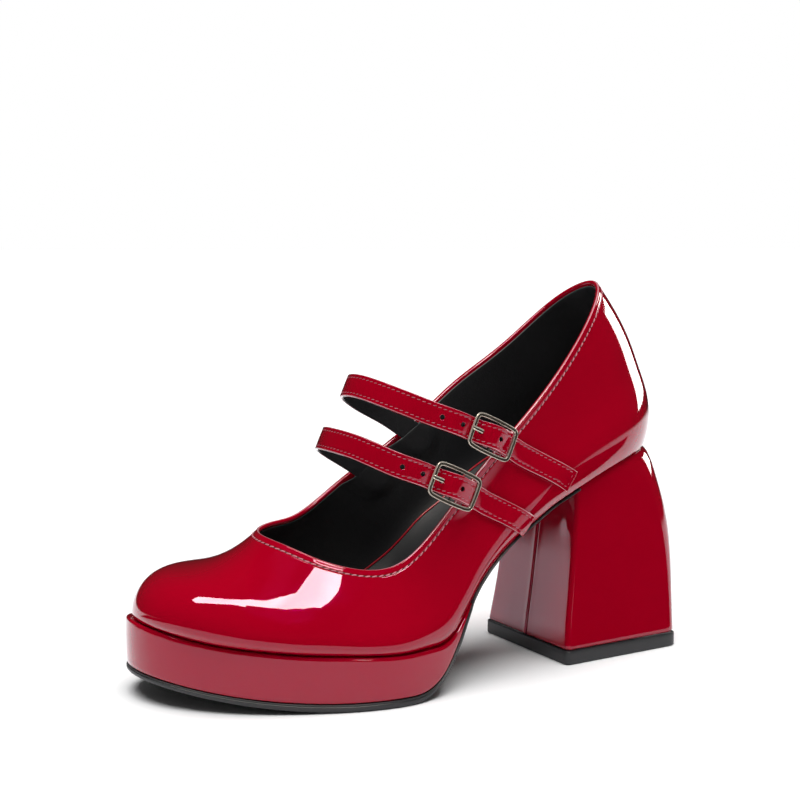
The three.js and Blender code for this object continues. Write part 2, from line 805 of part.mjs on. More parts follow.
// Band along a path: points at even steps, with the distance from the middle bar kept for the holes.
function band(knots, steps) {
  const ts = [0];
  for (let k = 1; k < knots.length; k += 1) {
    ts.push(ts[k - 1] + knots[k].point.distanceTo(knots[k - 1].point));
  }
  const read = (pick) => smooth(ts, knots.map(pick));
  const px = read((k) => k.point.x);
  const py = read((k) => k.point.y);
  const pz = read((k) => k.point.z);
  const nx = read((k) => k.normal.x);
  const ny = read((k) => k.normal.y);
  const nz = read((k) => k.normal.z);
  const total = ts[ts.length - 1];
  const zero = ts[knots.findIndex((k) => k.along === 0)];
  const frame = (t) => {
    const point = new THREE.Vector3(px(t), py(t), pz(t));
    const ahead = new THREE.Vector3(px(t + 0.2), py(t + 0.2), pz(t + 0.2))
      .sub(new THREE.Vector3(px(t - 0.2), py(t - 0.2), pz(t - 0.2)))
      .normalize();
    const across = ahead.clone().cross(new THREE.Vector3(nx(t), ny(t), nz(t))).normalize();
    const normal = across.clone().cross(ahead).normalize();
    return { point, across, normal };
  };
  const rings = [];
  for (let i = 0; i <= steps; i += 1) {
    const { point, across, normal } = frame((total * i) / steps);
    const ring = [];
    for (const [a, h] of [[-1, -1], [0, -1], [1, -1], [1, 1], [0, 1], [-1, 1]]) {
      const p = point.clone().addScaledVector(across, (a * STRAP_WIDTH) / 2);
      ring.push(p.addScaledVector(normal, (h * STRAP_THICKNESS) / 2));
    }
    rings.push(ring);
  }
  return { geometry: stack(rings, "across"), frame, zero };
}

// A short rod, used for holes.
function rod(point, axis, radius, length, sides) {
  const seed = Math.abs(axis.z) < 0.8 ? new THREE.Vector3(0, 0, 1) : new THREE.Vector3(1, 0, 0);
  const a = seed.cross(axis).normalize();
  const b = axis.clone().cross(a);
  const rings = [-0.5, 0.5].map((end) => {
    const ring = [];
    for (let i = 0; i < sides; i += 1) {
      const angle = (2 * Math.PI * i) / sides;
      const p = point.clone().addScaledVector(axis, end * length);
      p.addScaledVector(a, radius * Math.cos(angle)).addScaledVector(b, radius * Math.sin(angle));
      ring.push(p);
    }
    return ring;
  });
  return stack(rings, "fan");
}

// Punched holes, distances from the middle bar toward the toe.
const HOLES = [-1.5, 6.6, 15.1, 23.1];
const PRONG_HOLE = 1;

function strapGeometry(tab, loop, root) {
  const made = band(strapPath(tab, loop, root), 46);
  let solid = toSolid(made.geometry);
  HOLES.forEach((distance, k) => {
    const { point, normal } = made.frame(made.zero - distance);
    const radius = k === PRONG_HOLE ? HOLE_RADIUS + 0.35 : HOLE_RADIUS;
    solid = solid.subtract(toSolid(rod(point, normal, radius, STRAP_THICKNESS * 3, 8)));
  });
  return fromSolid(solid);
}

// Ring of wire round a flat loop of points given as along, across.
function wireLoop(pose, path, radius) {
  const rings = path.map(([along, across], k) => {
    const [pa, pc] = path[(k + path.length - 1) % path.length];
    const [na, nc] = path[(k + 1) % path.length];
    const length = Math.hypot(na - pa, nc - pc);
    const outA = (nc - pc) / length;
    const outC = -(na - pa) / length;
    const ring = [];
    for (let i = 0; i < 6; i += 1) {
      const angle = (2 * Math.PI * (i + 0.5)) / 6;
      const reach = radius * Math.cos(angle);
      ring.push(placed(pose, along + outA * reach, across + outC * reach, radius * Math.sin(angle)));
    }
    return ring;
  });
  return stack(rings, "loop");
}

// Buckle: a rounded frame, a little fuller in the middle of its sides, with a bar across.
function buckleGeometry(tab) {
  const pose = bucklePose(tab);
  const halfLength = BUCKLE_LENGTH / 2 - WIRE;
  const halfWidth = BUCKLE_WIDTH / 2 - WIRE;
  const path = [];
  for (let i = 0; i < 32; i += 1) {
    const angle = (2 * Math.PI * i) / 32;
    const c = Math.cos(angle);
    const s = Math.sin(angle);
    path.push([
      halfLength * Math.sign(c) * Math.abs(c) ** 0.3,
      halfWidth * Math.sign(s) * Math.abs(s) ** 0.3,
    ]);
  }
  const ring = toSolid(wireLoop(pose, path, WIRE));
  const bar = toSolid(rod(pose.origin, pose.b, WIRE * 0.9, 2 * halfWidth, 6));
  return fromSolid(ring.add(bar));
}

// Prong: rises through its hole beside the middle bar and rests on the front of the frame.
function prongGeometry(tab) {
  const pose = bucklePose(tab);
  const bar = BUCKLE_LENGTH / 2 - WIRE;
  const rest = WIRE + GAP + PRONG;
  const rows = [
    [HOLES[PRONG_HOLE] - 0.1, -0.9, 0.9],
    [HOLES[PRONG_HOLE] - 0.1, 0.9, 1],
    [HOLES[PRONG_HOLE] + 0.1, rest + 0.6, 1],
    [HOLES[PRONG_HOLE] + 0.8, rest + 0.8, 1],
    [bar - 0.6, rest + 0.15, 1],
    [bar + 0.5, rest - 0.1, 0.75],
  ];
  const rings = rows.map(([along, above, size], k) => {
    const [pa, pb] = rows[Math.max(k - 1, 0)];
    const [na, nb] = rows[Math.min(k + 1, rows.length - 1)];
    const length = Math.hypot(na - pa, nb - pb);
    const ring = [];
    for (let i = 0; i < 6; i += 1) {
      const angle = (2 * Math.PI * i) / 6;
      const reach = PRONG * size * Math.cos(angle);
      const a = along - ((nb - pb) / length) * reach;
      const h = above + ((na - pa) / length) * reach;
      ring.push(placed(pose, a, PRONG * size * Math.sin(angle), h));
    }
    return ring;
  });
  return stack(rings, "fan");
}

// Pieces
const shoe = new THREE.Group();
shoe.name = "mary_jane_left";

function piece(name, geometry, color, roughness, metalness) {
  const material = new THREE.MeshStandardMaterial({ color, roughness, metalness });
  const mesh = new THREE.Mesh(geometry, material);
  mesh.name = name;
  shoe.add(mesh);
}

const RED = 0xb00028;
const BLACK = 0x2a2a2d;
const METAL = 0xa08a68;

piece("upper", upperGeometry(), RED, 0.15, 0);
piece("insole", insoleGeometry(), 0x3a3a3c, 0.8, 0);
piece("platform", platformGeometry(), RED, 0.15, 0);
piece("outsole", soleGeometry(), BLACK, 0.7, 0);
piece("heel", heelGeometry(), RED, 0.15, 0);
piece("heel_tap", tapGeometry(), BLACK, 0.7, 0);
piece("strap_rear", strapGeometry(REAR_TAB, REAR_LOOP, REAR_ROOT), RED, 0.15, 0);
piece("strap_front", strapGeometry(FRONT_TAB, FRONT_LOOP, FRONT_ROOT), RED, 0.15, 0);
piece("tab_rear", tabGeometry(REAR_TAB), RED, 0.15, 0);
piece("tab_front", tabGeometry(FRONT_TAB), RED, 0.15, 0);
piece("buckle_rear", buckleGeometry(REAR_TAB), METAL, 0.3, 1);
piece("buckle_front", buckleGeometry(FRONT_TAB), METAL, 0.3, 1);
piece("prong_rear", prongGeometry(REAR_TAB), METAL, 0.3, 1);
piece("prong_front", prongGeometry(FRONT_TAB), METAL, 0.3, 1);

export default shoe;
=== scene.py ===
"""Left mary jane shoe in red patent leather: the looks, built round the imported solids.

Lengths in the tables and functions are millimetres in the frame of the solids: the origin is the
middle of the heel tread, +X points to the toe, +Y to the outer side and +Z up. Meshes are metres.
"""
import math

import bmesh
import bpy
import numpy as np
from mathutils import Matrix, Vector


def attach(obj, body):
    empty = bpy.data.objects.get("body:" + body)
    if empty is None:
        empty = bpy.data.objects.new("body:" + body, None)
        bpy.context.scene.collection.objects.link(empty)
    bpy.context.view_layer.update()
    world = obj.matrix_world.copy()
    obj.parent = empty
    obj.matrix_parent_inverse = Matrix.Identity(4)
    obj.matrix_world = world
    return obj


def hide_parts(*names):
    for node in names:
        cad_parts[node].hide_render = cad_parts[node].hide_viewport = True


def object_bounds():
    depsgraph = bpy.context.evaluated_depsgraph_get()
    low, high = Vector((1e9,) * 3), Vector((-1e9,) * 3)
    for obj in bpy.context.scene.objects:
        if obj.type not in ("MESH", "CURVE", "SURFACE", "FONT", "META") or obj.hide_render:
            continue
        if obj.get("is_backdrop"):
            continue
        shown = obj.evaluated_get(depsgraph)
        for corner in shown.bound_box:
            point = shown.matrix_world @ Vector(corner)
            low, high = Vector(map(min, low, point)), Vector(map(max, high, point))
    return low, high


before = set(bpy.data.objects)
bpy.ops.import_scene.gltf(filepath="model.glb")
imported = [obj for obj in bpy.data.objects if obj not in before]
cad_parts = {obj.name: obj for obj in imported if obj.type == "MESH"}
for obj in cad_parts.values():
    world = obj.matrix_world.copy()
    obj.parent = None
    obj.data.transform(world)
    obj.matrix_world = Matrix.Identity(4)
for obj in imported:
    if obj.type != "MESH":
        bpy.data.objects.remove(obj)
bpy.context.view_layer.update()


# ---- Upper ----
# The upper is one skin of red patent leather, pulled over the last and closed round back and toe.
# Its edge is folded in round the throat and the collar and sewn down with one row of red thread;
# underneath it rolls in where it is lasted to the insole.
WALL = 1.8  # leather, stiffening and lining
# The side is drawn over twenty sections: the back, then heel round, heel, breast, waist, joint,
# ball, vamp, toe corner and toe round on the outer side, the tip, and back along the inner side.
SECTIONS = np.array([  # feather edge x, y; topline x, y, z
    (-28, 0, -3.4, 0, 151.2), (-19.6, 14.7, 4.8, 14.6, 144.6),
    (-0.9, 23.4, 23.6, 23.2, 124.6), (25, 26, 47, 26.3, 101.5),
    (52, 27.5, 68, 27.5, 83), (79.9, 30.9, 88, 27.3, 62.5),
    (108, 35.8, 108, 26, 48.5), (136.4, 28.4, 129, 19.5, 51),
    (163.6, 13.8, 139, 11, 55.5), (180.6, -2.4, 144.5, 1, 58.2),
    (188.2, -20.2, 145, -8.8, 58.8), (183.5, -36.9, 141.2, -18.6, 58.8),
    (164.6, -44.5, 132, -26.4, 59), (136.9, -45.3, 118, -31, 60.4),
    (109.7, -40.5, 102, -31.5, 69.9), (83.8, -29, 86, -30.3, 80.2),
    (56, -21.5, 66, -28.8, 93.8), (27, -23.5, 45, -27.8, 110),
    (-0.9, -23.4, 22, -23.9, 126.4), (-19.6, -14.7, 3, -15.2, 144.3),
])
FULLNESS = np.array([  # swell outward and lift, at a quarter, a half and three quarters up
    (10.2, -1.8, 8.4, -1.4, 7.8, 0), (8.6, -2.6, 3.4, -2.4, 4.2, -0.2),
    (6.6, -2.2, 1, -1.9, 0.7, -0.3), (5.5, -1.6, 1, -1.4, 0, -0.3),
    (5.4, -1.6, 1, -1.3, 0, -0.3), (6, -2.8, 1.1, -2, 0.2, -0.4),
    (7.5, -4, 1.4, -2.1, 1.7, -0.3), (8.8, -4.9, 2.2, -1, 2.5, -0.1),
    (12.6, -5.8, 6.4, 0.2, 3.2, -0.9), (14.6, -5.7, 13.4, 3.3, 3.1, -3),
    (13.4, -4.4, 17.2, 5.5, 3.2, -5.2), (11.4, 0.4, 16.7, 6, 2.9, -6),
    (9.4, 1.8, 12.8, 3.6, 3.3, -4.2), (7.4, -2.4, 5.4, 0, 3.4, -0.3),
    (6.2, -2.4, 3.6, -0.8, 2.6, -0.2), (5.2, -2.2, 2.2, -1.2, 1.2, -0.2),
    (5, -1.6, 1.6, -1.2, 1, -0.2), (5.5, -1.6, 1.6, -1.3, 0.6, -0.3),
    (6.6, -2.2, 1.4, -1.8, 1, -0.3), (8.6, -2.6, 3.8, -2.3, 4.4, -0.2),
])
FEATHER = np.array([  # height of the feather edge along the shoe: x, z
    (-33, 84.6), (-20, 82.8), (-4, 79.6), (6, 76.6), (16, 72.8), (27, 68.2), (35, 64.6),
    (43, 60), (53, 54.4), (60, 49.4), (67, 43.3), (72, 37.8), (77.3, 30.6), (80.2, 27),
    (82.5, 24.3), (86, 21.2), (90, 19.5), (97, 19.1), (107, 18.9), (118, 19.3), (131, 20.2),
    (145, 21.2), (158, 22.7), (170, 24.4), (180, 26.6), (188, 28.8),
])
PATENT_RED = (0.385, 0.0, 0.0125, 1)
PATENT_SHADE = (0.355, 0.0, 0.011, 1)
PAINTED_HIGHLIGHT_PINK = (0.85, 0.50, 0.56, 1)  # painted highlight: the pale line along a sharply folded edge


def curve(ts, ys, period=0.0):
    """A smooth curve through knots; its bend is continuous. With a period it closes on itself."""
    ts, ys = np.asarray(ts, float), np.asarray(ys, float)
    n = len(ts)
    step = np.diff(np.r_[ts, ts[0] + period]) if period else np.r_[np.diff(ts), 1.0]
    rise = np.diff(np.r_[ys, ys[0]])
    pull, want = np.zeros((n, n)), np.zeros(n)
    for i in range(n if period else n - 1):
        ends = [i, (i + 1) % n]
        pull[np.ix_(ends, ends)] += np.array([[2, 1], [1, 2]]) / step[i]
        want[ends] += 3 * rise[i] / step[i] ** 2
    slope = np.linalg.solve(pull, want)

    def at(t):
        t = np.asarray(t, float)
        s = (t - ts[0]) % period + ts[0] if period else np.clip(t, ts[0], ts[-1])
        i = np.clip(np.searchsorted(ts, s, "right") - 1, 0, n - 1 if period else n - 2)
        j, h = (i + 1) % n, step[i]
        q = (s - ts[i]) / h
        start = (1 + 2 * q) * (1 - q) ** 2 * ys[i] + q * (1 - q) ** 2 * h * slope[i]
        end = q * q * (3 - 2 * q) * ys[j] + q * q * (q - 1) * h * slope[j]
        out = start + end
        if not period:
            out = out + slope[0] * np.minimum(t - ts[0], 0) + slope[-1] * np.maximum(t - ts[-1], 0)
        return out

    return at


def ease(t, low, high):
    """0 below low, 1 above high, smooth between."""
    q = np.clip((np.asarray(t, float) - low) / (high - low), 0, 1)
    return q * q * (3 - 2 * q)


def unit(v):
    return v / np.maximum(np.linalg.norm(v, axis=-1, keepdims=True), 1e-12)


def dot(a, b):
    return (a * b).sum(-1)


def run_along(path):
    """Distance from a path's first point to each of its points."""
    return np.r_[0, np.cumsum(np.linalg.norm(np.diff(path, axis=0), axis=1))]


feather_z = curve(*FEATHER.T)
knots = run_along(np.vstack([SECTIONS, SECTIONS[:1]])[:, :2])


def around(values):
    """A value round the shoe, over the share of the way round."""
    c = curve(knots[:-1], values, knots[-1])
    return lambda u: c(np.asarray(u) * knots[-1])


feather_x, feather_y, collar_x, collar_y, collar_z = [around(c) for c in SECTIONS.T]
swells = [around(c) for c in FULLNESS.T]


def edge_out(u):
    """Outward direction of the feather edge, in plan."""
    dx = feather_x(u + 0.002) - feather_x(u - 0.002)
    dy = feather_y(u + 0.002) - feather_y(u - 0.002)
    return unit(np.stack([-dy, dx, 0 * dx], -1))


def guide_weights(v):
    """Weights of a section's five guide points at v, from the feather edge (0) to the topline (1)."""
    v = np.clip(v, 0, 1)
    w = np.minimum(v, 1 - v)
    lower = [(1 - 2 * w) ** 3, 2 * w * (3 - 9 * w + 7 * w * w), 2 * w * w * (3 - 4 * w), 2 * w ** 3,
             0 * w]
    return [np.where(v < 0.5, a, b) for a, b in zip(lower, lower[::-1])]


def wall(u, v):
    """The last's side at round share u and height share v."""
    u, v = np.broadcast_arrays(np.asarray(u, float), np.asarray(v, float))
    x = feather_x(u)
    low = np.stack([x, feather_y(u), feather_z(x)], -1)
    top = np.stack([collar_x(u), collar_y(u), collar_z(u)], -1)
    out, up = edge_out(u), np.array([0, 0, 1.0])
    guides = [low]
    for k, share in enumerate((0.25, 0.5, 0.75)):
        swell, lift = swells[2 * k](u)[..., None], swells[2 * k + 1](u)[..., None]
        guides.append(low + (top - low) * share + out * swell + up * lift)
    guides.append(top)
    p = sum(w[..., None] * g for w, g in zip(guide_weights(v), guides))
    return p + 6 * np.maximum(v - 1, 0)[..., None] * (top - guides[3])



def wall_normal(u, v):
    """Outward direction of the side."""
    a = wall(u + 0.001, v) - wall(u - 0.001, v)
    b = wall(u, v + 0.01) - wall(u, np.maximum(v - 0.01, 0))
    return unit(np.cross(b, a))


def skin(rows, cols, wrap_rows=False, wrap_cols=True):
    """Faces of a grid of points."""
    r, c = np.mgrid[:rows - (not wrap_rows), :cols - (not wrap_cols)]
    r2, c2 = (r + 1) % rows, (c + 1) % cols
    quads = np.stack([r * cols + c, r * cols + c2, r2 * cols + c2, r2 * cols + c], -1)
    return quads.reshape(-1, 4).tolist()


def add(name, data):
    """Puts a mesh, a lamp or the camera in the scene."""
    ob = bpy.data.objects.new(name, data)
    bpy.context.scene.collection.objects.link(ob)
    return ob


def shape(name, points, faces, materials):
    """A mesh in the scene, from points in millimetres."""
    mesh = bpy.data.meshes.new(name)
    mesh.from_pydata((np.asarray(points, float).reshape(-1, 3) * 0.001).tolist(), [], faces)
    for m in materials:
        mesh.materials.append(m)
    return add(name, mesh)


def face_out(ob):
    """Turns a closed mesh's faces outward."""
    bm = bmesh.new()
    bm.from_mesh(ob.data)
    if bm.calc_volume(signed=True) < 0:
        ob.data.flip_normals()
    bm.free()
    return ob


def piece(name, points, faces, materials, replaces=(), parts=None):
    """A closed mesh that rides on the shoe; parts gives each face's material."""
    ob = shape(name, points, faces, materials)
    mesh = ob.data
    mesh.validate()
    if parts is not None:
        mesh.polygons.foreach_set("material_index", list(parts))
    mesh.polygons.foreach_set("use_smooth", [True] * len(mesh.polygons))
    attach(ob, "root")
    if replaces:
        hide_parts(*replaces)
    return face_out(ob)


def effect(name, inputs, output, kind):
    """An empty shader node group, and the nodes for its inputs and its output."""
    g = bpy.data.node_groups.new(name, "ShaderNodeTree")
    for label, of_kind, value in inputs:
        s = g.interface.new_socket(name=label, in_out="INPUT", socket_type="NodeSocket" + of_kind)
        s.default_value = value
    g.interface.new_socket(name=output, in_out="OUTPUT", socket_type="NodeSocket" + kind)
    return g, g.nodes.new("NodeGroupInput"), g.nodes.new("NodeGroupOutput")


def wire(tree, *links):
    """Links a node's output to another node's input, each by name or number."""
    for node, output, other, entry in links:
        tree.links.new(node.outputs[output], other.inputs[entry])


def nodes_in(tree, *kinds):
    return [tree.nodes.new("ShaderNode" + kind) for kind in kinds]


# Slow drift of a colour over the surface, as in dyed and coated leather.
tone, t_in, t_out = effect("uneven tone", [("Colour", "Color", (1, 1, 1, 1)),
                                           ("Shade", "Color", (0.5, 0.5, 0.5, 1)),
                                           ("Scale", "Float", 30.0)], "Colour", "Color")
place, noise, mix = nodes_in(tone, "TexCoord", "TexNoise", "Mix")
noise.inputs["Detail"].default_value = 3
mix.data_type = "RGBA"
wire(tone, (place, "Object", noise, "Vector"), (t_in, "Scale", noise, "Scale"),
     (noise, "Fac", mix, "Factor"), (t_in, "Colour", mix, 6), (t_in, "Shade", mix, 7),
     (mix, 2, t_out, "Colour"))

# Fine pebbling of leather, metal and rubber.
grain, g_in, g_out = effect("grain", [("Scale", "Float", 900.0), ("Roughening", "Float", 0.5)],
                            "Height", "Float")
place, cells, noise, mix = nodes_in(grain, "TexCoord", "TexVoronoi", "TexNoise", "Mix")
cells.feature = "SMOOTH_F1"
noise.inputs["Detail"].default_value = 4
wire(grain, (place, "Object", cells, "Vector"), (place, "Object", noise, "Vector"),
     (g_in, "Scale", cells, "Scale"), (g_in, "Scale", noise, "Scale"),
     (g_in, "Roughening", mix, "Factor"), (cells, "Distance", mix, "A"), (noise, "Fac", mix, "B"),
     (mix, "Result", g_out, "Height"))


def use(material, group, **values):
    """Places an effect in a material with its own values."""
    node, = nodes_in(material.node_tree, "Group")
    node.node_tree = group
    for key, value in values.items():
        node.inputs[key].default_value = value
    return node


def surface(name, colour, shade, scale, pebbles=None, **sockets):
    """A material: one Principled shader with plain numbers on its sockets, an uneven tone, and
    the grain through a Bump node where pebbles gives its scale, roughening and depth."""
    m = bpy.data.materials.new(name)
    m.use_nodes = True
    bsdf = m.node_tree.nodes["Principled BSDF"]
    for key, value in sockets.items():
        bsdf.inputs[key.replace("_", " ")].default_value = value
    toned = use(m, tone, Colour=colour, Shade=shade, Scale=scale)
    wire(m.node_tree, (toned, "Colour", bsdf, "Base Color"))
    if pebbles:
        pebbled = use(m, grain, Scale=pebbles[0], Roughening=pebbles[1])
        bump, = nodes_in(m.node_tree, "Bump")
        bump.inputs["Strength"].default_value = 1.0
        bump.inputs["Distance"].default_value = pebbles[2]
        wire(m.node_tree, (pebbled, "Height", bump, "Height"), (bump, "Normal", bsdf, "Normal"))
    return m


patent = surface("red_patent", PATENT_RED, PATENT_SHADE, 25, (2600, 0.6, 0.00001), Roughness=0.05,
                 Specular_IOR_Level=0.5, Specular_Tint=(0.4, 0.0, 0.25, 1), Coat_Weight=1.0,
                 Coat_Roughness=0.012)
# Pale patent for the crests of folds: a painted highlight, not the leather's own colour.
highlight_patent = surface("painted_highlight_patent", PAINTED_HIGHLIGHT_PINK, PATENT_RED, 60, Roughness=0.3,
                    Coat_Weight=1.0, Coat_Roughness=0.08)
# Dark red for the sewn channel: painted shade in the recess.
groove_shade_red = surface("sewn_groove_painted_shade", (0.09, 0, 0.004, 1), (0.05, 0, 0.002, 1), 300, Roughness=0.5)

CREASES = [  # side (1 outer, -1 inner), x, z, lie in degrees, half length, half width, depth
    (1, 100, 38, 62, 15, 5, 0.16),
    (1, 129, 35, 9, 23, 6.5, -0.78),
    (1, 101, 35.5, -15, 16, 7, -0.76),
    (1, 72, 62, 35, 13, 4, 0.10),
    (1, 30, 92, 55, 18, 7, 0.16),
    (1, -2, 96, 78, 20, 6, -0.14),
    (1, 150, 40, 20, 14, 4, 0.10),
    (-1, 104, 44, 60, 15, 5, 0.16),
    (-1, 60, 72, 40, 16, 5, 0.12),
    (-1, 12, 100, 65, 18, 6, 0.14),
    (-1, 140, 46, 15, 14, 5, 0.12),
]


def creases(p):
    """Depth of the listed troughs (positive) and ridges (negative) at points of the side."""
    depth = 0
    for side, x, z, lie, long, wide, deep in CREASES:
        off = (p[..., 0] - x + 1j * (p[..., 2] - z)) * np.exp(-1j * np.radians(lie))
        here = np.exp(-((off.real / long) ** 2) - (off.imag / wide) ** 2)
        depth = depth + deep * here * ease(p[..., 1] * side, 4, 12)
    return depth


ROUND = 420  # points in each row round the shoe
STITCH_IN = 2.0  # the sewn row below the folded edge
CHANNEL_DEPTH, CHANNEL_HALF = 0.10, 0.38  # the groove that the row lies in
DOUBLED = 0.06  # how far the doubled leather above it stands out
ROLL_IN, ROLL_HIGH = 0.5, 0.9  # the last of the side, drawn in over the platform
FOLD = WALL / 2 + 0.08  # half the folded edge's thickness
FOLD_PROUD, FOLD_FLAT = 0.16, 0.85  # how far it stands out, and its height as a share of FOLD
us = np.arange(ROUND) / ROUND
rise_top = np.linalg.norm(wall(us, 1.0) - wall(us, 0.99), axis=1) * 100  # mm per unit of v
rise_low = np.linalg.norm(wall(us, 0.01) - wall(us, 0.0), axis=1) * 100
from_top = [0, 0.3, 0.6, 0.9, 1.2, 1.45, 1.65, 1.85, 2.05, 2.25, 2.45, 2.7, 3, 3.4, 3.9, 4.6]
from_low = [0, 0.2, 0.45, 0.75, 1.1, 1.5, 2, 2.6, 3.3]
v_top = 1 - np.array(from_top)[:, None] / rise_top
v_low = np.array(from_low)[:, None] / rise_low
middle = np.linspace(0, 1, 46)[1:-1, None]
v_rows = np.vstack([v_low, v_low[-1] + (v_top[-1] - v_low[-1]) * middle, v_top[::-1]])
below = (1 - v_rows) * rise_top  # distance down from the edge, true near it
above = v_rows * rise_low  # distance up from the feather edge, true near it
outer = wall(us, v_rows)
sink = CHANNEL_DEPTH * np.exp(-(((below - STITCH_IN) / CHANNEL_HALF) ** 2))
sink += ROLL_IN * np.clip(1 - above / ROLL_HIGH, 0, 1) ** 2 + creases(outer) * ease(below, 3, 9)
sink -= DOUBLED * ease(STITCH_IN - below, 0.2, 0.7)
outer = outer - wall_normal(us, v_rows) * sink[..., None]
edge, edge_n = wall(us, 1.0), wall_normal(us, np.ones(ROUND))
turn = np.radians(np.linspace(0, 180, 11))[1:-1, None, None]
rim = edge - edge_n * (FOLD - FOLD_PROUD) + edge_n * FOLD * np.cos(turn)
rim = rim + unit(edge - wall(us, 0.985)) * FOLD * FOLD_FLAT * np.sin(turn)
v_in = np.linspace(1, 0, 16)[:, None] * np.ones(ROUND)
inner = wall(us, v_in) - wall_normal(us, v_in) * WALL
inner[-1, :, 2] = feather_z(inner[-1, :, 0])
upper_points = np.concatenate([outer, rim, inner])
kinds = np.zeros(len(upper_points), int)
kinds[len(outer) + 1:len(outer) + 3] = 1  # the crest of the fold, painted pale as a highlight
kinds[:len(outer) - 1][abs((below[:-1, 0] + below[1:, 0]) / 2 - STITCH_IN) < 0.28] = 2  # the sewn channel, painted dark red as shade in the groove
piece("upper_skin", upper_points, skin(len(upper_points), ROUND, wrap_rows=True),
      [patent, highlight_patent, groove_shade_red], ["upper"], np.repeat(kinds, ROUND))


# ---- Lining ----
# Black leather lining, its cut edge showing as a thin grey line just under the fold.
# On the inner side it swells over the two strap ends, which are caught between it and the upper.
LINING_BLACK = (0.014, 0.0145, 0.0155, 1)
EDGE_GREY = (0.075, 0.095, 0.095, 1)
LINING_DOWN = 0.9  # from the topline to its cut edge
LINING_OFF = 2.15  # from the outer face of the upper to its face
LINING_THICK = 0.42
STRAP_SWELL = 2.0  # over a strap end
STRAP_ENDS = {  # x, z on the inner side, from each strap's hidden end up to where it shows
    "rear": [(65, 87.2), (71, 91.3), (77, 95.4), (84, 100)],
    "front": [(83.5, 73.2), (88.5, 76.3), (93.5, 79.5), (100, 83.4)]}
lining_black = surface("black_lining", LINING_BLACK, (0.022, 0.022, 0.024, 1), 40,
                       (1500, 0.45, 0.00006), Roughness=0.42)
edge_grey = surface("lining_edge", EDGE_GREY, (0.05, 0.065, 0.065, 1), 200, Roughness=0.55)


def near_line(p, line):
    """Distance in side view from points to a broken line of x, z."""
    q, best = p[..., 0] + 1j * p[..., 2], 1e9
    for a, b in zip(line, line[1:]):
        a, b = complex(*a), complex(*b)
        share = np.clip(((q - a) / (b - a)).real, 0, 1)
        best = np.minimum(best, abs(q - a - share * (b - a)))
    return best


def lining_off(u, v):
    """How far the lining's face lies in from the outer face of the upper."""
    p = wall(u, v)
    swell = np.max([ease(-near_line(p, line), -11, -4.5) for line in STRAP_ENDS.values()], axis=0)
    return LINING_OFF + STRAP_SWELL * swell * (p[..., 1] < 0)


depth_share = np.r_[0, 0.004, 0.012, np.linspace(0.03, 0.985, 60)][:, None]
v_face = (1 - LINING_DOWN / rise_top) * (1 - depth_share)
off = lining_off(us, v_face)
lip = np.r_[0.16, 0.05, np.zeros(61)][:, None]  # rounded cut edge
side, side_n = wall(us, v_face), wall_normal(us, v_face)
back_side = side - side_n * (off - LINING_THICK)[..., None]
lining_points = np.concatenate([side - side_n * (off - lip)[..., None], back_side[::-1]])
kinds = np.zeros(len(lining_points), int)
kinds[[0, -1]] = 1  # the cut edge
piece("lining", lining_points, skin(len(kinds), ROUND, wrap_rows=True), [lining_black, edge_grey],
      ["upper"], np.repeat(kinds, ROUND))


# ---- Sock ----
# The footbed: a padded sock of dark grey leather that cups up against the lining, with a thin red
# piping where its edge meets the wall. It covers the insole board.
SOCK_GREY = (0.024, 0.025, 0.027, 1)
SOCK_EDGE = np.array([  # height of the sock's edge along the shoe: x, z
    (-27, 88), (-10, 85.2), (5, 82), (15, 80), (28, 75.9), (39.5, 70.2), (55, 59.9), (64, 53.6),
    (75.3, 42.4), (84, 35.6), (92, 30.6), (105, 27.4), (130, 27.6), (160, 30), (188, 33)])
SOCK_OFF = LINING_OFF + 0.15  # its edge, from the outer face of the upper
SOCK_HIGH = 3.4  # its middle above the feather edge
SOCK_THICK, SOCK_CUP = 0.9, 3.2  # the higher the second, the nearer the wall it cups up
PIPING_RADIUS, PIPING_UP = 0.42, 0.25
sock_grey = surface("sock_leather", SOCK_GREY, (0.018, 0.019, 0.021, 1), 60, (1700, 0.5, 0.00005),
                    Roughness=0.5)
piping_red = surface("piping_red", (0.50, 0.0, 0.015, 1), (0.40, 0.0, 0.012, 1), 80, Roughness=0.35,
                     Coat_Weight=0.5, Coat_Roughness=0.1)
sock_edge_z = curve(*SOCK_EDGE.T)
fine = np.linspace(0, 1, 4001)
tip_u = fine[np.argmax(feather_x(fine))]
fine = np.linspace(-0.03, 0.03, 2001)
back_u = fine[np.argmin(feather_x(fine))]


def share_at_height(u, z, inset):
    """Height share where the face inset from the side reaches z."""
    low, high = np.zeros_like(u), np.full_like(u, 0.7)
    for _ in range(30):
        mid = (low + high) / 2
        is_low = (wall(u, mid) - wall_normal(u, mid) * inset)[..., 2] < z
        low, high = np.where(is_low, mid, low), np.where(is_low, high, mid)
    return (low + high) / 2


def sides(start, count):
    """Matching round shares on the outer and the inner side, from x = start to the tip."""
    pair = []
    for end in (tip_u, tip_u - 1):
        u = np.linspace(back_u, end, 3001)
        u = u[feather_x(u) >= start]
        pair.append(np.interp(np.linspace(0, 1, count), np.linspace(0, 1, len(u)), u))
    return pair


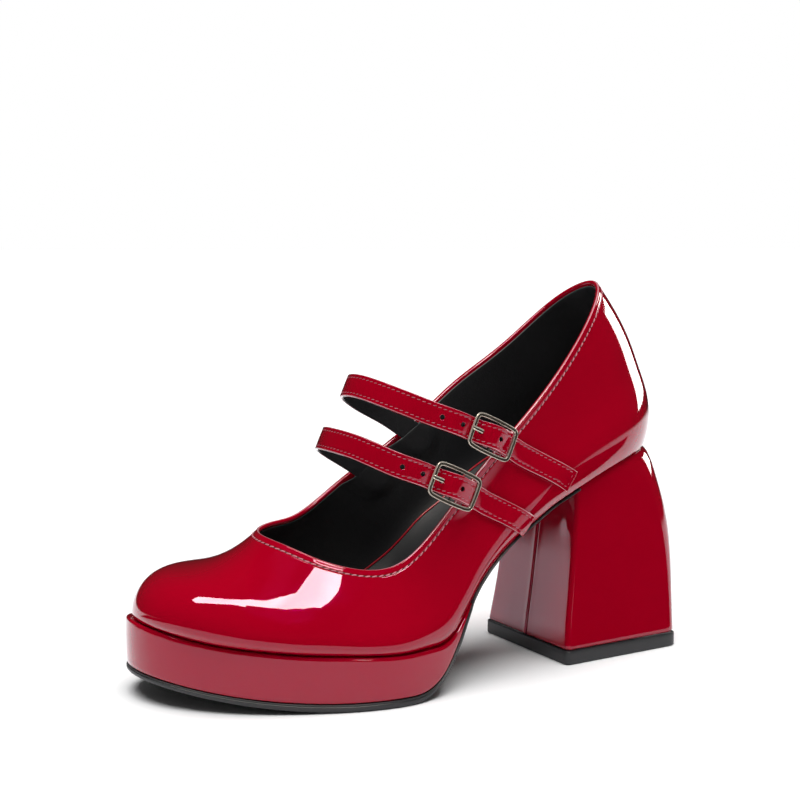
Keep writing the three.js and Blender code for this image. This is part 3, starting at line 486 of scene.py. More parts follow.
u_pair = sides(-math.inf, 150)
rims = []
for u in u_pair:
    v = share_at_height(u, sock_edge_z(feather_x(u)), SOCK_OFF)
    rims.append(wall(u, v) - wall_normal(u, v) * SOCK_OFF)
x = feather_x(u_pair[0])
slope = feather_z(x + 0.5) - feather_z(x - 0.5)
bed = feather_z(x) + SOCK_HIGH * np.sqrt(1 + slope ** 2)
s = np.sin(np.linspace(-1, 1, 41) * np.pi / 2)
half = ((1 + s) / 2)[:, None]
cup = np.abs(s) ** SOCK_CUP
top = rims[1][:, None] * (1 - half) + rims[0][:, None] * half
top[..., 2] = bed[:, None] * (1 - cup) + top[..., 2] * cup
rows, cols = top.shape[:2]
grid, shift = skin(rows, cols, wrap_cols=False), rows * cols
starts = [i * cols for i in range(rows)]
ring = starts + [starts[-1] + k for k in range(1, cols)]
ring += [i + cols - 1 for i in starts[-2::-1]] + list(range(cols - 2, 0, -1))
sock_faces = grid + [[k + shift for k in f[::-1]] for f in grid]
sock_faces += [(a, b, b + shift, a + shift) for a, b in zip(ring, ring[1:] + ring[:1])]
piece("sock", np.concatenate([top, top - [0, 0, SOCK_THICK]]), sock_faces, [sock_grey],
      ["insole"])

line = np.concatenate([rims[0], rims[1][::-1][1:-1]]) + [0, 0, PIPING_UP]
ahead = unit(np.roll(line, -1, 0) - np.roll(line, 1, 0))
side = unit(np.cross(ahead, [0, 0, 1.0]))
turn = 2 * np.pi * np.arange(10)[:, None] / 10
bead = (line[:, None] + side[:, None] * PIPING_RADIUS * np.cos(turn)
        + np.cross(side, ahead)[:, None] * PIPING_RADIUS * np.sin(turn))
piece("sock_piping", bead, skin(len(bead), 10, wrap_rows=True), [piping_red])


# ---- Platform ----
# One thick filler under the forefoot, wrapped in the same patent leather; the wrap turns over a
# soft bead at its upper rim, and runs out thin under the arch.
GAP = 0.3  # kept free between pieces
PLATFORM_START = 76
TOE_X, FLAT_START, FLAT_END = 188, 104, 124  # x of the tip, and of the flat under the ball
SOLE_THICKNESS, TOE_THICKNESS, WAIST_THICKNESS, TOE_SPRING = 3, 2.3, 1.6, 7.8
WELT = 2.3  # how far platform and sole stand out from the feather edge
CLIMB = np.array([  # upper face of the sole where it climbs behind the platform: x, z
    (74.5, 34.3), (76, 31.3), (77.5, 28.3), (79.5, 24.4), (81.5, 20.6), (84.5, 16.1),
    (86.9, 12.9), (89.9, 9.4), (93.9, 6.1), (98.6, 3.9), (104, 3),
])
RIM_ROUND, WRAP_SWELL, EDGE_UNDER = 1.3, 0.18, 0.5  # bead, fullness, rounding at the sole
climb_z = curve(*CLIMB.T)


def sole_top(x):
    x = np.asarray(x, float)
    reach = np.maximum(x - FLAT_END, 0) / (TOE_X - FLAT_END)
    front = SOLE_THICKNESS + TOE_SPRING * reach * reach
    behind = np.where(x < CLIMB[0, 0], feather_z(x) - GAP, climb_z(x))
    return np.where(x < FLAT_START, behind, front)


def sole_bottom(x):
    slope = sole_top(x + 0.5) - sole_top(x - 0.5)
    thick = WAIST_THICKNESS + (SOLE_THICKNESS - WAIST_THICKNESS) * ease(x, 90, FLAT_START)
    thick = thick + (TOE_THICKNESS - SOLE_THICKNESS) * ease(x, FLAT_END, TOE_X)
    thick = thick * (0.55 + 0.45 * ease(x, 48, 82))  # skived thin at the waist
    low = np.maximum(0, sole_top(x) - thick * np.sqrt(1 + slope * slope))
    return np.where((x >= FLAT_START) & (x <= FLAT_END), 0, low)


def welt_at(x):
    return 0.2 + (WELT - 0.2) * ease(x, 70, 94)


def across(first, count):
    """Faces that close an odd ring of points by joining its two halves."""
    half = count // 2
    return [(first + i, first + i + 1, first + count - 2 - i, first + count - 1 - i)
            for i in range(half - 1)] + [(first + half - 1, first + half, first + half + 1)]


def layer(name, u_pair, rows, outset, height, material, node):
    """A layer under the foot; rows give what outset and height take beside x, from low to high."""
    u = np.concatenate([u_pair[0], u_pair[1][::-1][1:]])
    x, n = feather_x(u), edge_out(u)
    points = []
    for row in rows:
        out = outset(x, *row[0])
        px, py = x + n[:, 0] * out, feather_y(u) + n[:, 1] * out
        points.append(np.stack([px, py, height(px, *row[1])], -1))
    count = len(u)
    faces = skin(len(rows), count) + across(0, count) + across((len(rows) - 1) * count, count)
    piece(name, points, faces, [material], [node])


def wrap_low(x):
    return sole_top(x) + GAP


def wrap_high(x):
    return feather_z(x) - 0.1


def rim_round(x):
    return np.minimum(RIM_ROUND, 0.45 * (wrap_high(x) - wrap_low(x)))


def wrap_outset(x, proud, round_in):
    return welt_at(x) + proud - rim_round(x) * round_in


def wrap_height(x, share, lift, round_up):
    low, high = wrap_low(x) + EDGE_UNDER, wrap_high(x) - rim_round(x)
    return low + share * (high - low) + lift + rim_round(x) * round_up


WRAP = [((-0.9, 0), (0, -0.5, 0)), ((-0.45, 0), (0, -0.45, 0)),  # turned under, on the sole
        ((-0.15, 0), (0, -0.3, 0)), ((-0.02, 0), (0, 0, 0))]
WRAP += [((WRAP_SWELL * math.sin(math.pi * s), 0), (s, 0, 0)) for s in np.linspace(0.08, 1, 12)]
WRAP += [((0, 1 - math.cos(a)), (1, 0, math.sin(a))) for a in np.radians(range(9, 91, 9))]
WRAP += [((-0.35, 1), (1, -0.06, 1)), ((-0.7, 1), (1, 0.02, 1)), ((-1.2, 1), (1, 0.3, 1))]
layer("platform_wrap", sides(PLATFORM_START, 190), WRAP, wrap_outset, wrap_height, patent,
      "platform")


# ---- Outsole ----
# Thin black rubber, from the heel breast down the arch and under the platform to the toe. Its edge
# is trimmed square with a fine line along the top.
SOLE_START = 21.2
RUBBER = (0.020, 0.0205, 0.022, 1)
rubber = surface("black_rubber", RUBBER, (0.028, 0.029, 0.031, 1), 50, (1100, 0.7, 0.00004),
                 Roughness=0.38)
SOLE_SECTION = [  # outset beyond the welt, share of the thickness up
    (-1.2, 0.0), (-0.5, 0.02), (-0.15, 0.1), (0.1, 0.22), (0.2, 0.4), (0.2, 0.62), (0.16, 0.7),
    (-0.1, 0.74), (-0.1, 0.8), (0.08, 0.84), (0.08, 0.95), (-0.2, 1.0)]
layer("outsole_rubber", sides(SOLE_START, 220), [((out,), (up,)) for out, up in SOLE_SECTION],
      lambda x, out: welt_at(x) + out,
      lambda x, up: sole_bottom(x) + up * (sole_top(x) - sole_bottom(x)),
      rubber, "outsole")


# ---- Heel ----
# The heel block: squared where it stands, rounded where it meets the seat, covered in patent
# leather that is closed by one seam down the middle of the breast.
TAP_THICKNESS = 5.7
HEEL = np.array([  # share up, breast x, back x, half width, squareness of the back corners
    (0, 28.5, -28.5, 28.2, 18),
    (0.12, 27.6, -29.2, 27.2, 15),
    (0.3, 26, -30.1, 26.2, 11),
    (0.5, 24.4, -30.7, 25.3, 7.5),
    (0.68, 22.9, -30.2, 24.6, 5),
    (0.84, 21.6, -28.3, 24, 3.5),
    (0.94, 20.9, -27.1, 23.5, 2.7),
    (1, 20.6, -26, 23.2, 2.2),
])
BREAST_SEAM = [  # y, depth: the seam and the puckered leather beside it
    (0, 1.25), (0.22, 1.2), (0.4, 0.8), (0.55, 0.3), (0.75, 0.02), (1, -0.12), (1.3, -0.14),
    (1.8, -0.08), (2.6, 0)]
CORNER = 2.0  # radius of the corners of the breast
STRAIGHT_TO = 4.0  # x where the sides start to turn in to the back
heel_breast, heel_back, heel_half, heel_square = [curve(HEEL[:, 0], c) for c in HEEL.T[1:]]


def heel_ring(up, proud, middle):
    """Outline of the heel, from the middle of its breast along the outer side and back."""
    front, back, half = heel_breast(up) + proud, heel_back(up) - proud, heel_half(up) + proud
    pts = [(front - deep, y) for y, deep in middle]
    pts += [(front, y) for y in np.linspace(middle[-1][0], half - CORNER, 14)[1:]]
    pts += [(front - CORNER + CORNER * math.cos(a), half - CORNER + CORNER * math.sin(a))
            for a in np.radians(np.linspace(0, 90, 9)[1:])]
    pts += [(x, half) for x in np.linspace(front - CORNER, STRAIGHT_TO, 12)[1:-1]]
    a, power = np.linspace(0, math.pi / 2, 400), 2 / heel_square(up)
    back_line = np.stack([STRAIGHT_TO - (STRAIGHT_TO - back) * np.sin(a) ** power,
                          half * np.cos(a) ** power], -1)
    back_line[-1, 1] = 0
    run = run_along(back_line)
    pts = np.array(pts + [[np.interp(at, run, c) for c in back_line.T]
                          for at in np.linspace(0, run[-1], 46)])
    return np.concatenate([pts, (pts[:-1] * [1, -1])[::-1][:-1]])


def ring_cap(first, count):
    """Closes a ring that starts on the middle of the breast and passes the middle of the back."""
    return [(first + i, first + i + 1, first + count - 1 - i, first + (count - i) % count)
            for i in range(1, count // 2 - 1)] + [(first, first + 1, first + count - 1)]


def heel_piece(name, rings, material, node):
    """Rings stacked upward and closed at both ends."""
    rows, count = np.shape(rings)[:2]
    faces = skin(rows, count) + ring_cap(0, count) + ring_cap((rows - 1) * count, count)
    piece(name, rings, faces, [material], [node])


HEEL_DENTS = [  # on the breast: y, share up, half width, half height, depth
    (12, 0.88, 3.0, 0.07, 0.30), (18, 0.80, 2.5, 0.08, -0.28), (6, 0.93, 3.0, 0.05, -0.25),
    (-10, 0.90, 4.0, 0.06, 0.20), (14, 0.5, 9, 0.25, 0.12)]
heel_low = TAP_THICKNESS + GAP
rings = []
for up in np.r_[0, 0.004, 0.012, np.linspace(0.03, 0.97, 60), 0.985, 0.995, 1]:
    tuck = 0.5 * max(0, 1 - up / 0.012) ** 2 + 0.9 * max(0, (up - 0.965) / 0.035) ** 2
    xy = heel_ring(up, -tuck, BREAST_SEAM)
    for y, at, wide, tall, deep in HEEL_DENTS:
        on = np.exp(-(((xy[:, 1] - y) / wide) ** 2) - ((up - at) / tall) ** 2)
        xy[:, 0] -= deep * on * (xy[:, 0] > heel_breast(up) - 1)
    top = feather_z(xy[:, 0]) - GAP
    rings.append(np.column_stack([xy, heel_low + (top - heel_low) * up]))
heel_piece("heel_cover", rings, patent, "heel")


# ---- Heel tap ----
# Thick black rubber top piece nailed under the heel, trimmed a little proud of the cover.
TAP_PROUD = 0.45
TAP_EDGE = [(0, -0.15), (0.12, 0.15), (0.4, 0.38), (0.8, TAP_PROUD), (2.2, TAP_PROUD),  # z, outset
            (3.8, TAP_PROUD), (5.2, TAP_PROUD), (5.5, 0.38), (5.66, 0.2), (TAP_THICKNESS, -0.1)]
PLAIN = [(y, 0) for y in (0, 0.5, 1, 1.8, 2.6)]  # the middle of its front, without a seam
tap_rings = [np.insert(heel_ring(0, out, PLAIN), 2, z, axis=1) for z, out in TAP_EDGE]
heel_piece("heel_tap_rubber", tap_rings, rubber, "heel_tap")


# ---- Tabs ----
# Two short bands of folded patent leather, sewn flat on the outer wall by a row along each edge and
# across the squared end; each runs off the wall under the middle bar of its buckle.
BAND_WIDTH, TAB_THICKNESS = 9.0, 1.5  # the straps are as wide
WIRE = 0.8  # half the buckle's thickness
BUCKLE_TURN = 2.5  # degrees, from the line of its tab
TAB_LEAVES = 10.0  # where the tab leaves the wall, back from the buckle's middle
BAR_HEIGHT = GAP + TAB_THICKNESS + GAP + WIRE
SEWN_IN = 1.45  # the sewn rows from the edge of tab and strap
FOLD_ROUND = 0.42  # radius of a band's folded edges
TABS = {  # squared end x, z; buckle middle x, z
    "rear": (29.1, 74.6, 66.4, 94.4), "front": (49.6, 59.1, 83, 77.1)}


def find_wall(x, z, which):
    """Round and height share of the wall point seen from the side at x, z."""
    x, z = np.broadcast_arrays(np.asarray(x, float), np.asarray(z, float))
    u, v = np.full(x.shape, 0.25 if which > 0 else 0.75), np.full(x.shape, 0.8)
    for _ in range(15):
        p = wall(u, v)
        du, dv = (wall(u + 0.001, v) - p) * 1000, (wall(u, v + 0.001) - p) * 1000
        det = du[..., 0] * dv[..., 2] - du[..., 2] * dv[..., 0]
        ex, ez = x - p[..., 0], z - p[..., 2]
        u = u + np.clip((ex * dv[..., 2] - ez * dv[..., 0]) / det, -0.03, 0.03)
        v = v + np.clip((du[..., 0] * ez - du[..., 2] * ex) / det, -0.2, 0.2)
        v = np.maximum(v, 0.02)
    return u, v


def tab_place(tab, a, b):
    """Wall points and normals at a along the tab from the buckle middle and b across it."""
    end_x, end_z, mid_x, mid_z = tab
    dx, dz = mid_x - end_x, mid_z - end_z
    length = math.hypot(dx, dz)
    u, v = find_wall(mid_x + (dx * a - dz * b) / length, mid_z + (dz * a + dx * b) / length, 1)
    return wall(u, v), wall_normal(u, v)


def buckle_pose(tab):
    """Middle of the buckle, along the strap to the toe, across it, and off the wall."""
    low, low_n = tab_place(tab, -TAB_LEAVES - 3, 0.0)
    high, high_n = tab_place(tab, -TAB_LEAVES + 1, 0.0)
    n = unit(low_n + high_n)
    ahead = high - low
    t = unit(ahead - n * dot(ahead, n))
    b = np.cross(n, t)
    middle = tab_place(tab, -TAB_LEAVES, 0.0)[0] + t * TAB_LEAVES + n * BAR_HEIGHT
    c, s = math.cos(math.radians(BUCKLE_TURN)), math.sin(math.radians(BUCKLE_TURN))
    return middle, t * c + b * s, b * c - t * s, n


def placed(pose, along, aside, above):
    """Points at distances from the buckle's middle: along the strap, across it and off the wall."""
    return pose[0] + sum(np.multiply.outer(d, v) for d, v in zip((along, aside, above), pose[1:]))


poses = {name: buckle_pose(tab) for name, tab in TABS.items()}


def band_section(thick):
    """Cross-section of a folded and sewn band, across and height, and each side's material."""
    half, high, r = BAND_WIDTH / 2, thick / 2, FOLD_ROUND
    y = np.linspace(r - half, half - r, 34)
    inward = half - np.abs(y)
    z = high - 0.08 + 0.10 * (1 - (y / half) ** 2)  # crowned, with a bead beside the sewn channel
    z += 0.04 * np.exp(-(((inward - 0.6) / 0.4) ** 2))
    z -= 0.10 * np.exp(-(((inward - SEWN_IN) / 0.3) ** 2))
    side = [(half - r + r * math.cos(a), high - r + r * math.sin(a))
            for a in np.radians(np.linspace(90, 0, 6)[1:])]
    side += [(half - 0.02, 0.42 - high), (half - 0.30, 0.40 - high)]
    below = [(half - 0.12, 0.30 - high), (half - 0.16, 0.06 - high), (half - 0.5, -high)]
    flat = [(y, -high) for y in np.linspace(half - 1.5, 1.5 - half, 5)]
    other_side, other_below = [[(-y, z) for y, z in part[::-1]] for part in (side, below)]
    section = np.array(list(zip(y, z)) + side + below + flat + other_below + other_side)
    turned = len(y) + len(side)
    back = turned + 2 * len(below) + len(flat)
    kinds = np.zeros(len(section), int)
    kinds[turned:back - 1] = 1  # the lined underside
    kinds[[turned - 2, turned - 1, back - 1, back]] = 2  # cut edges of the lining
    kinds[[turned - 8, turned - 7, -4, -3]] = 3  # painted highlight where the leather is folded hard
    return section, kinds.tolist()


def ends(rows, cols):
    """The two end faces of a tube of points."""
    return [range(cols), range((rows - 1) * cols, rows * cols)]


def band(kind, name, frames, thick):
    """Sweeps the section along frames: points, directions across and normals."""
    section, kinds = band_section(thick)
    middle, side, n = frames
    run = run_along(middle)
    q = np.maximum(0, 1 - np.minimum(run, run[-1] - run) / 0.7)
    tuck = (0.62 * (1 - np.sqrt(1 - q * q)))[:, None, None]  # the ends are rounded
    rings = (middle[:, None] + side[:, None] * section[:, :1] * (1 - 2 * tuck / BAND_WIDTH)
             + n[:, None] * section[:, 1:] * (1 - 1.1 * tuck / thick))
    rows, cols = rings.shape[:2]
    return piece(kind + "_band_" + name, rings, skin(rows, cols) + ends(rows, cols),
                 [patent, lining_black, edge_grey, highlight_patent], [kind + "_" + name],
                 kinds * (rows - 1) + [0, 0])


def ends_close(low, high, count):
    """Even steps with closer ones at both ends, for the rounded ends of a band."""
    near = np.array([0, 0.06, 0.18, 0.38, 0.6])
    return np.r_[low + near, np.linspace(low + 0.8, high - 0.8, count), high - near[::-1]]


tab_frames = {}
for name, tab in TABS.items():
    pose = poses[name]
    a = ends_close(-math.hypot(tab[2] - tab[0], tab[3] - tab[1]), 2.6, 90)
    free = ease(a, -TAB_LEAVES - 7, -TAB_LEAVES + 1)[:, None]
    lines = []
    for b in (-BAND_WIDTH / 2, 0.0, BAND_WIDTH / 2):
        at, n = tab_place(tab, a, b)
        flat = placed(pose, a, math.copysign(b, pose[2][2] * b), -BAR_HEIGHT)
        lines.append((at * (1 - free) + flat * free, unit(n * (1 - free) + pose[3] * free)))
    (low, _), (mid, n), (high, _) = lines
    side = unit(high - low)
    n = unit(n - side * dot(n, side)[:, None])
    lift = np.maximum(0, dot((low + high) / 2 - mid, n))[:, None]  # clear of the wall's bulge
    tab_frames[name] = mid + n * (GAP + TAB_THICKNESS / 2 + lift - 0.12), side, n
    band("tab", name, tab_frames[name], TAB_THICKNESS)


# ---- Buckles ----
# Small flat frames of antique metal, fuller in the middle of their sides. Two polished rims run
# round a darkened, finely ribbed channel; a bar crosses the middle and a grooved prong drops over
# the front of the frame. The bar is painted dark all over, as shade where the strap covers it.
BUCKLE_LENGTH, BUCKLE_WIDTH = 20.5, 13.6
METAL = (0.78, 0.72, 0.62, 1)
METAL_WORN = (0.60, 0.53, 0.43, 1)
METAL_PATINA_AND_SHADE = (0.085, 0.072, 0.052, 1)
bright_metal = surface("antique_metal", METAL, METAL_WORN, 260, (900, 0.9, 0.00003), Metallic=0.6,
                       Roughness=0.24)
# Dark metal: patina in the channels, and painted shade on the bar.
patina_and_shade_metal = surface("antique_metal_patina_and_painted_shade", METAL_PATINA_AND_SHADE, (0.04, 0.034, 0.026, 1), 400, Metallic=0.8,
                     Roughness=0.4)
HOLES = [-1.5, 6.6, 15.1, 23.1]  # from the middle bar toward the toe
PRONG_HOLE = 1
FRAME_HALF = 0.8  # half the width of the band the frame is made of
SQUARED = 0.21  # the less, the squarer its corners
BULGE_END, BULGE_SIDE = 0.02, 0.06  # fuller in the middle of its ends and sides
RIB = 0.1  # height of the ribs across the channel
BAR_RADIUS, BAR_SUNK = WIRE * 0.8, 0.2
FRAME = np.array([  # cross-section in half widths and mm
    (-1, 0), (-0.95, 0.28), (-0.76, 0.44), (-0.56, 0.4), (-0.44, 0.2), (0.44, 0.2), (0.56, 0.4),
    (0.76, 0.44), (0.95, 0.28), (1, 0), (0.94, -0.28), (0.7, -0.44), (-0.7, -0.44), (-0.94, -0.28)])
PRONG = np.array([
    (-0.8, 0), (-0.74, 0.24), (-0.52, 0.34), (-0.34, 0.3), (-0.22, 0.08), (0.22, 0.08), (0.34, 0.3),
    (0.52, 0.34), (0.74, 0.24), (0.8, 0), (0.6, -0.3), (-0.6, -0.3)])
DARK_SIDES = (3, 4, 5)  # sides of both sections that lie in the channel
RIBBED = (4, 5)  # points of the frame's section that the ribs lift

half_l, half_w = BUCKLE_LENGTH / 2 - FRAME_HALF + 0.2, BUCKLE_WIDTH / 2 - FRAME_HALF
a = np.linspace(0, 2 * math.pi, 4001)[:-1]
fa = half_l * np.sign(np.cos(a)) * np.abs(np.cos(a)) ** SQUARED
fc = half_w * np.sign(np.sin(a)) * np.abs(np.sin(a)) ** SQUARED
outline = np.stack([fa * (1 + BULGE_END * (1 - (fc / half_w) ** 2)),
                    fc * (1 + BULGE_SIDE * (1 - (fa / half_l) ** 2))], -1)
run = run_along(outline)
fa, fc = [np.interp(np.linspace(0, run[-1], 361)[:-1], run, c)[:, None] for c in outline.T]
da, dc = np.roll(fa, -1) - np.roll(fa, 1), np.roll(fc, -1) - np.roll(fc, 1)
w = FRAME[:, 0] * FRAME_HALF / np.hypot(da, dc)
ribs = RIB * ((np.arange(len(fa))[:, None] % 4 < 2) & np.isin(np.arange(len(FRAME)), RIBBED))
bar_turn = 2 * math.pi * np.arange(12) / 12

over_frame, hole = 0.84, HOLES[PRONG_HOLE]  # height of the prong's middle on the frame; its hole
front = BUCKLE_LENGTH / 2 - WIRE
prong_knots = np.array([  # along, height: from the hole, over the front of the frame
    (hole - 1.15, -0.6), (hole - 1, 0.35), (hole - 0.4, over_frame + 0.28),
    (hole + 1, over_frame + 0.4), (front - 0.4, over_frame + 0.1), (front + 0.5, over_frame - 0.02),
    (front + 0.75, over_frame - 0.3)])
t = run_along(prong_knots)
pa, ph = [curve(t, c)(np.linspace(0, t[-1], 40))[:, None] for c in prong_knots.T]
ta, th = np.gradient(pa[:, 0])[:, None], np.gradient(ph[:, 0])[:, None]
lift = PRONG[:, 1] / np.hypot(ta, th)


def metal(name, points, faces, dark, node):
    piece(name, points, faces, [bright_metal, patina_and_shade_metal], [node], dark)


for name, pose in poses.items():
    rings = placed(pose, fa + dc * w, fc - da * w, FRAME[:, 1] + ribs)
    bar = placed(pose, BAR_RADIUS * np.cos(bar_turn), np.linspace(-half_w, half_w, 5)[:, None],
                 BAR_RADIUS * np.sin(bar_turn) - BAR_SUNK)
    rows, cols = rings.shape[:2]
    bar_faces = [[k + rows * cols for k in f] for f in skin(5, 12) + ends(5, 12)]
    # Channel sides darkened with patina; the bar painted dark all over, as shade under the strap.
    dark = [int(c in DARK_SIDES) for c in range(cols)] * rows + [1] * len(bar_faces)
    metal("buckle_frame_" + name, np.concatenate([rings.reshape(-1, 3), bar.reshape(-1, 3)]),
          skin(rows, cols, wrap_rows=True) + bar_faces, dark, "buckle_" + name)
    rings = placed(pose, pa - th * lift, PRONG[:, 0], ph + ta * lift)
    rows, cols = rings.shape[:2]
    dark = [int(c in DARK_SIDES) for c in range(cols)] * (rows - 1) + [0, 0]
    metal("prong_pin_" + name, rings, skin(rows, cols) + ends(rows, cols), dark, "prong_" + name)


# ---- Straps ----
# Two bands of folded patent leather lined in black. Each is held inside the inner wall, loops over
# the instep and threads its buckle: under the front, over the bar, and its tip under the rear.
STRAP_THICKNESS = 1.7
ROOT_UP = {"rear": 0.9, "front": 0}  # the hidden end above its line on the lining
LOOPS = {  # x, y, z and lean in degrees, from the buckle over the instep to the inner side
    "rear": [(87, 25.6, 103.1, 10), (97.4, 19, 107.8, 14), (103.6, 9, 111.2, 20),
             (106.4, -2, 112.9, 22), (105.6, -12, 112.2, 22), (100.6, -20.4, 109.4, 20),
             (92.6, -24.8, 104.8, 14)],
    "front": [(104.2, 24.8, 86.1, 9), (111.6, 18.5, 90, 11), (115.6, 9, 92.4, 16),
              (117.2, -2, 93.1, 21), (116.2, -12, 92.6, 22), (112, -20.8, 90.2, 20),
              (105, -25.9, 86.2, 14)]}
PUNCHED = [0.95, 0.8, 0.95, 0.95]  # radii of the holes


def strap_knots(name):
    """Points and normals of the strap, from its hidden end to its tip under the buckle's rear."""
    points, normals = [], []
    for x, z in STRAP_ENDS[name][:3]:
        u, v = find_wall(x, z + ROOT_UP[name], -1)
        normals.append(wall_normal(u, v))
        points.append(wall(u, v) - normals[-1] * (WALL + GAP + 0.25 + STRAP_THICKNESS / 2))
    free = np.array(LOOPS[name])[::-1]
    for k, (x, y, z, lean) in enumerate(free):
        ahead = free[min(k + 1, len(free) - 1), :3] - free[max(k - 1, 0), :3]
        flat = unit(np.array([ahead[1], -ahead[0], 0]))
        up = unit(np.cross(ahead, flat))
        lean = math.radians(lean)
        points.append((x, y, z))
        normals.append(flat * math.cos(lean) + up * np.sign(up[2]) * math.sin(lean))
    over, bar = WIRE + GAP + STRAP_THICKNESS / 2, BUCKLE_LENGTH / 2 - WIRE
    for along, aside, above in ((bar + 4.5, 0.6, -0.92), (bar, 0.45, -1), (bar * 0.62, 0.35, -0.42),
                                (bar * 0.31, 0.2, 0.7), (0, 0, 1.12), (-bar * 0.36, 0, 0.86),
                                (-bar * 0.83, 0, 0.1)):
        points.append(placed(poses[name], along, aside, over * above))
        normals.append(poses[name][3])
    return np.array(points), np.array(normals)


def strap_reader(name):
    """Reads a strap at distances from its hidden end; its length; where it crosses the bar."""
    points, normals = strap_knots(name)
    ts = run_along(points)
    of_point, of_normal = [[curve(ts, c) for c in rows.T] for rows in (points, normals)]

    def at(t):
        ahead = unit(np.stack([c(t + 0.2) - c(t - 0.2) for c in of_point], -1))
        side = unit(np.cross(ahead, np.stack([c(t) for c in of_normal], -1)))
        return np.stack([c(t) for c in of_point], -1), side, np.cross(side, ahead)

    return at, ts[-1], ts[-3]


strap_readers = {name: strap_reader(name) for name in LOOPS}
for name, (at, total, at_bar) in strap_readers.items():
    strap = band("strap", name, at(ends_close(0, total, 230)), STRAP_THICKNESS)
    punches = []
    for distance, radius in zip(HOLES, PUNCHED):
        point, side, n = at(at_bar - distance)
        turn = 2 * math.pi * np.arange(24)[:, None] / 24
        disc = point + radius * (side * np.cos(turn) + np.cross(n, side) * np.sin(turn))
        punches.append(face_out(shape("punch", [disc - n * 2.5, disc + n * 2.5],
                                      skin(2, 24) + ends(2, 24), [lining_black])))
        cut = strap.modifiers.new("hole", "BOOLEAN")
        cut.operation, cut.solver, cut.material_mode = "DIFFERENCE", "EXACT", "TRANSFER"
        cut.object = punches[-1]
    bpy.context.view_layer.update()
    pierced = strap.evaluated_get(bpy.context.evaluated_depsgraph_get())
    made = bpy.data.meshes.new_from_object(pierced)
    strap.modifiers.clear()
    strap.data = made
    made.name = strap.name
    for punch in punches:
        bpy.data.objects.remove(punch)


# ---- Thread ----
# Red sewing thread: short stitches lying in a shallow groove round the topline, along both edges of
# straps and tabs and across their squared ends. Round the topline the thread is lightened as painted
# sheen; on straps and tabs a darker copy of it stands for painted shade.
PITCH, STITCH, THREAD_RADIUS = 2.55, 1.95, 0.26  # round the topline
BAND_PITCH, BAND_STITCH, BAND_RADIUS = 2.1, 1.5, 0.16  # on straps and tabs
THREAD_SUNK = 0.16  # in the face of a band
SLANT = 0.17
# Red thread lightened toward pink-white: painted sheen.
sheen_painted_thread = surface("thread_painted_sheen", (0.72, 0.30, 0.35, 1), (0.50, 0.12, 0.16, 1), 900,
                     (4000, 0.3, 0.00005), Roughness=0.55)
# The same red thread, darker: painted shade on straps and tabs.
shade_painted_thread = surface("thread_painted_shade", (0.55, 0.20, 0.25, 1), (0.26, 0.03, 0.05, 1), 900,
                      (4000, 0.3, 0.00005), Roughness=0.55)


def stitches(name, lines, pitch, length, radius, thread):
    """Thread along lines of (points, normals), drawn as slightly slanted short stitches."""
    turn = 2 * math.pi * np.arange(8)[:, None] / 8
    q = np.array([-1, -0.82, -0.45, 0, 0.45, 0.82, 1])[:, None, None]  # along a stitch
    rise = radius * (0.75 * (1 - q ** 4) - 0.35)
    r = radius * np.sqrt(np.maximum(0.02, 1 - q ** 6))
    points = []
    for path, normals in lines:
        run = run_along(path)
        count = max(1, int(run[-1] // pitch))
        for mid in (np.arange(count) + 0.5) * run[-1] / count:
            start, end = np.stack([np.interp((mid - length / 2, mid + length / 2), run, c)
                                   for c in path.T], -1)
            n = unit(np.array([np.interp(mid, run, c) for c in normals.T]))
            ahead = unit(end - start)
            side = np.cross(n, ahead)
            centre = (start + end) / 2 + ahead * q * length / 2 + side * q * SLANT + n * rise
            points.append(centre + side * r * np.cos(turn) + n * r * 0.9 * np.sin(turn))
    each = skin(7, 8) + ends(7, 8)
    faces = [[56 * k + i for i in f] for k in range(len(points)) for f in each]
    piece(name, points, faces, [thread])


def sew_band(name, frames, thick, end):
    """Rows along both edges of a band and across its squared end."""
    points, side, n = frames
    half, high = BAND_WIDTH / 2 - SEWN_IN, thick / 2 - THREAD_SUNK
    lines = [(points + side * s * half + n * high, n) for s in (-1, 1)]
    row = points[end] + side[end] * np.linspace(-half, half, 9)[:, None] + n[end] * high
    lines.append((row, n[end] * np.ones((9, 1))))
    stitches(name, lines, BAND_PITCH, BAND_STITCH, BAND_RADIUS, shade_painted_thread)


edge_us = np.linspace(0, 1, 1201)
sewn_v = 1 - STITCH_IN / np.interp(edge_us, np.r_[us, 1], np.r_[rise_top, rise_top[0]])
sewn_n = wall_normal(edge_us, sewn_v)
stitches("thread_topline", [(wall(edge_us, sewn_v) - sewn_n * 0.1, sewn_n)], PITCH, STITCH,
         THREAD_RADIUS, sheen_painted_thread)
for name, frames in tab_frames.items():
    run = run_along(frames[0])
    keep = (run > SEWN_IN) & (run < run[-1] - 3)
    sew_band("thread_tab_" + name, [f[keep] for f in frames], TAB_THICKNESS, 0)
for name, (at, total, at_bar) in strap_readers.items():
    sew_band("thread_strap_" + name, at(np.arange(12, total - SEWN_IN, 0.4)), STRAP_THICKNESS, -1)


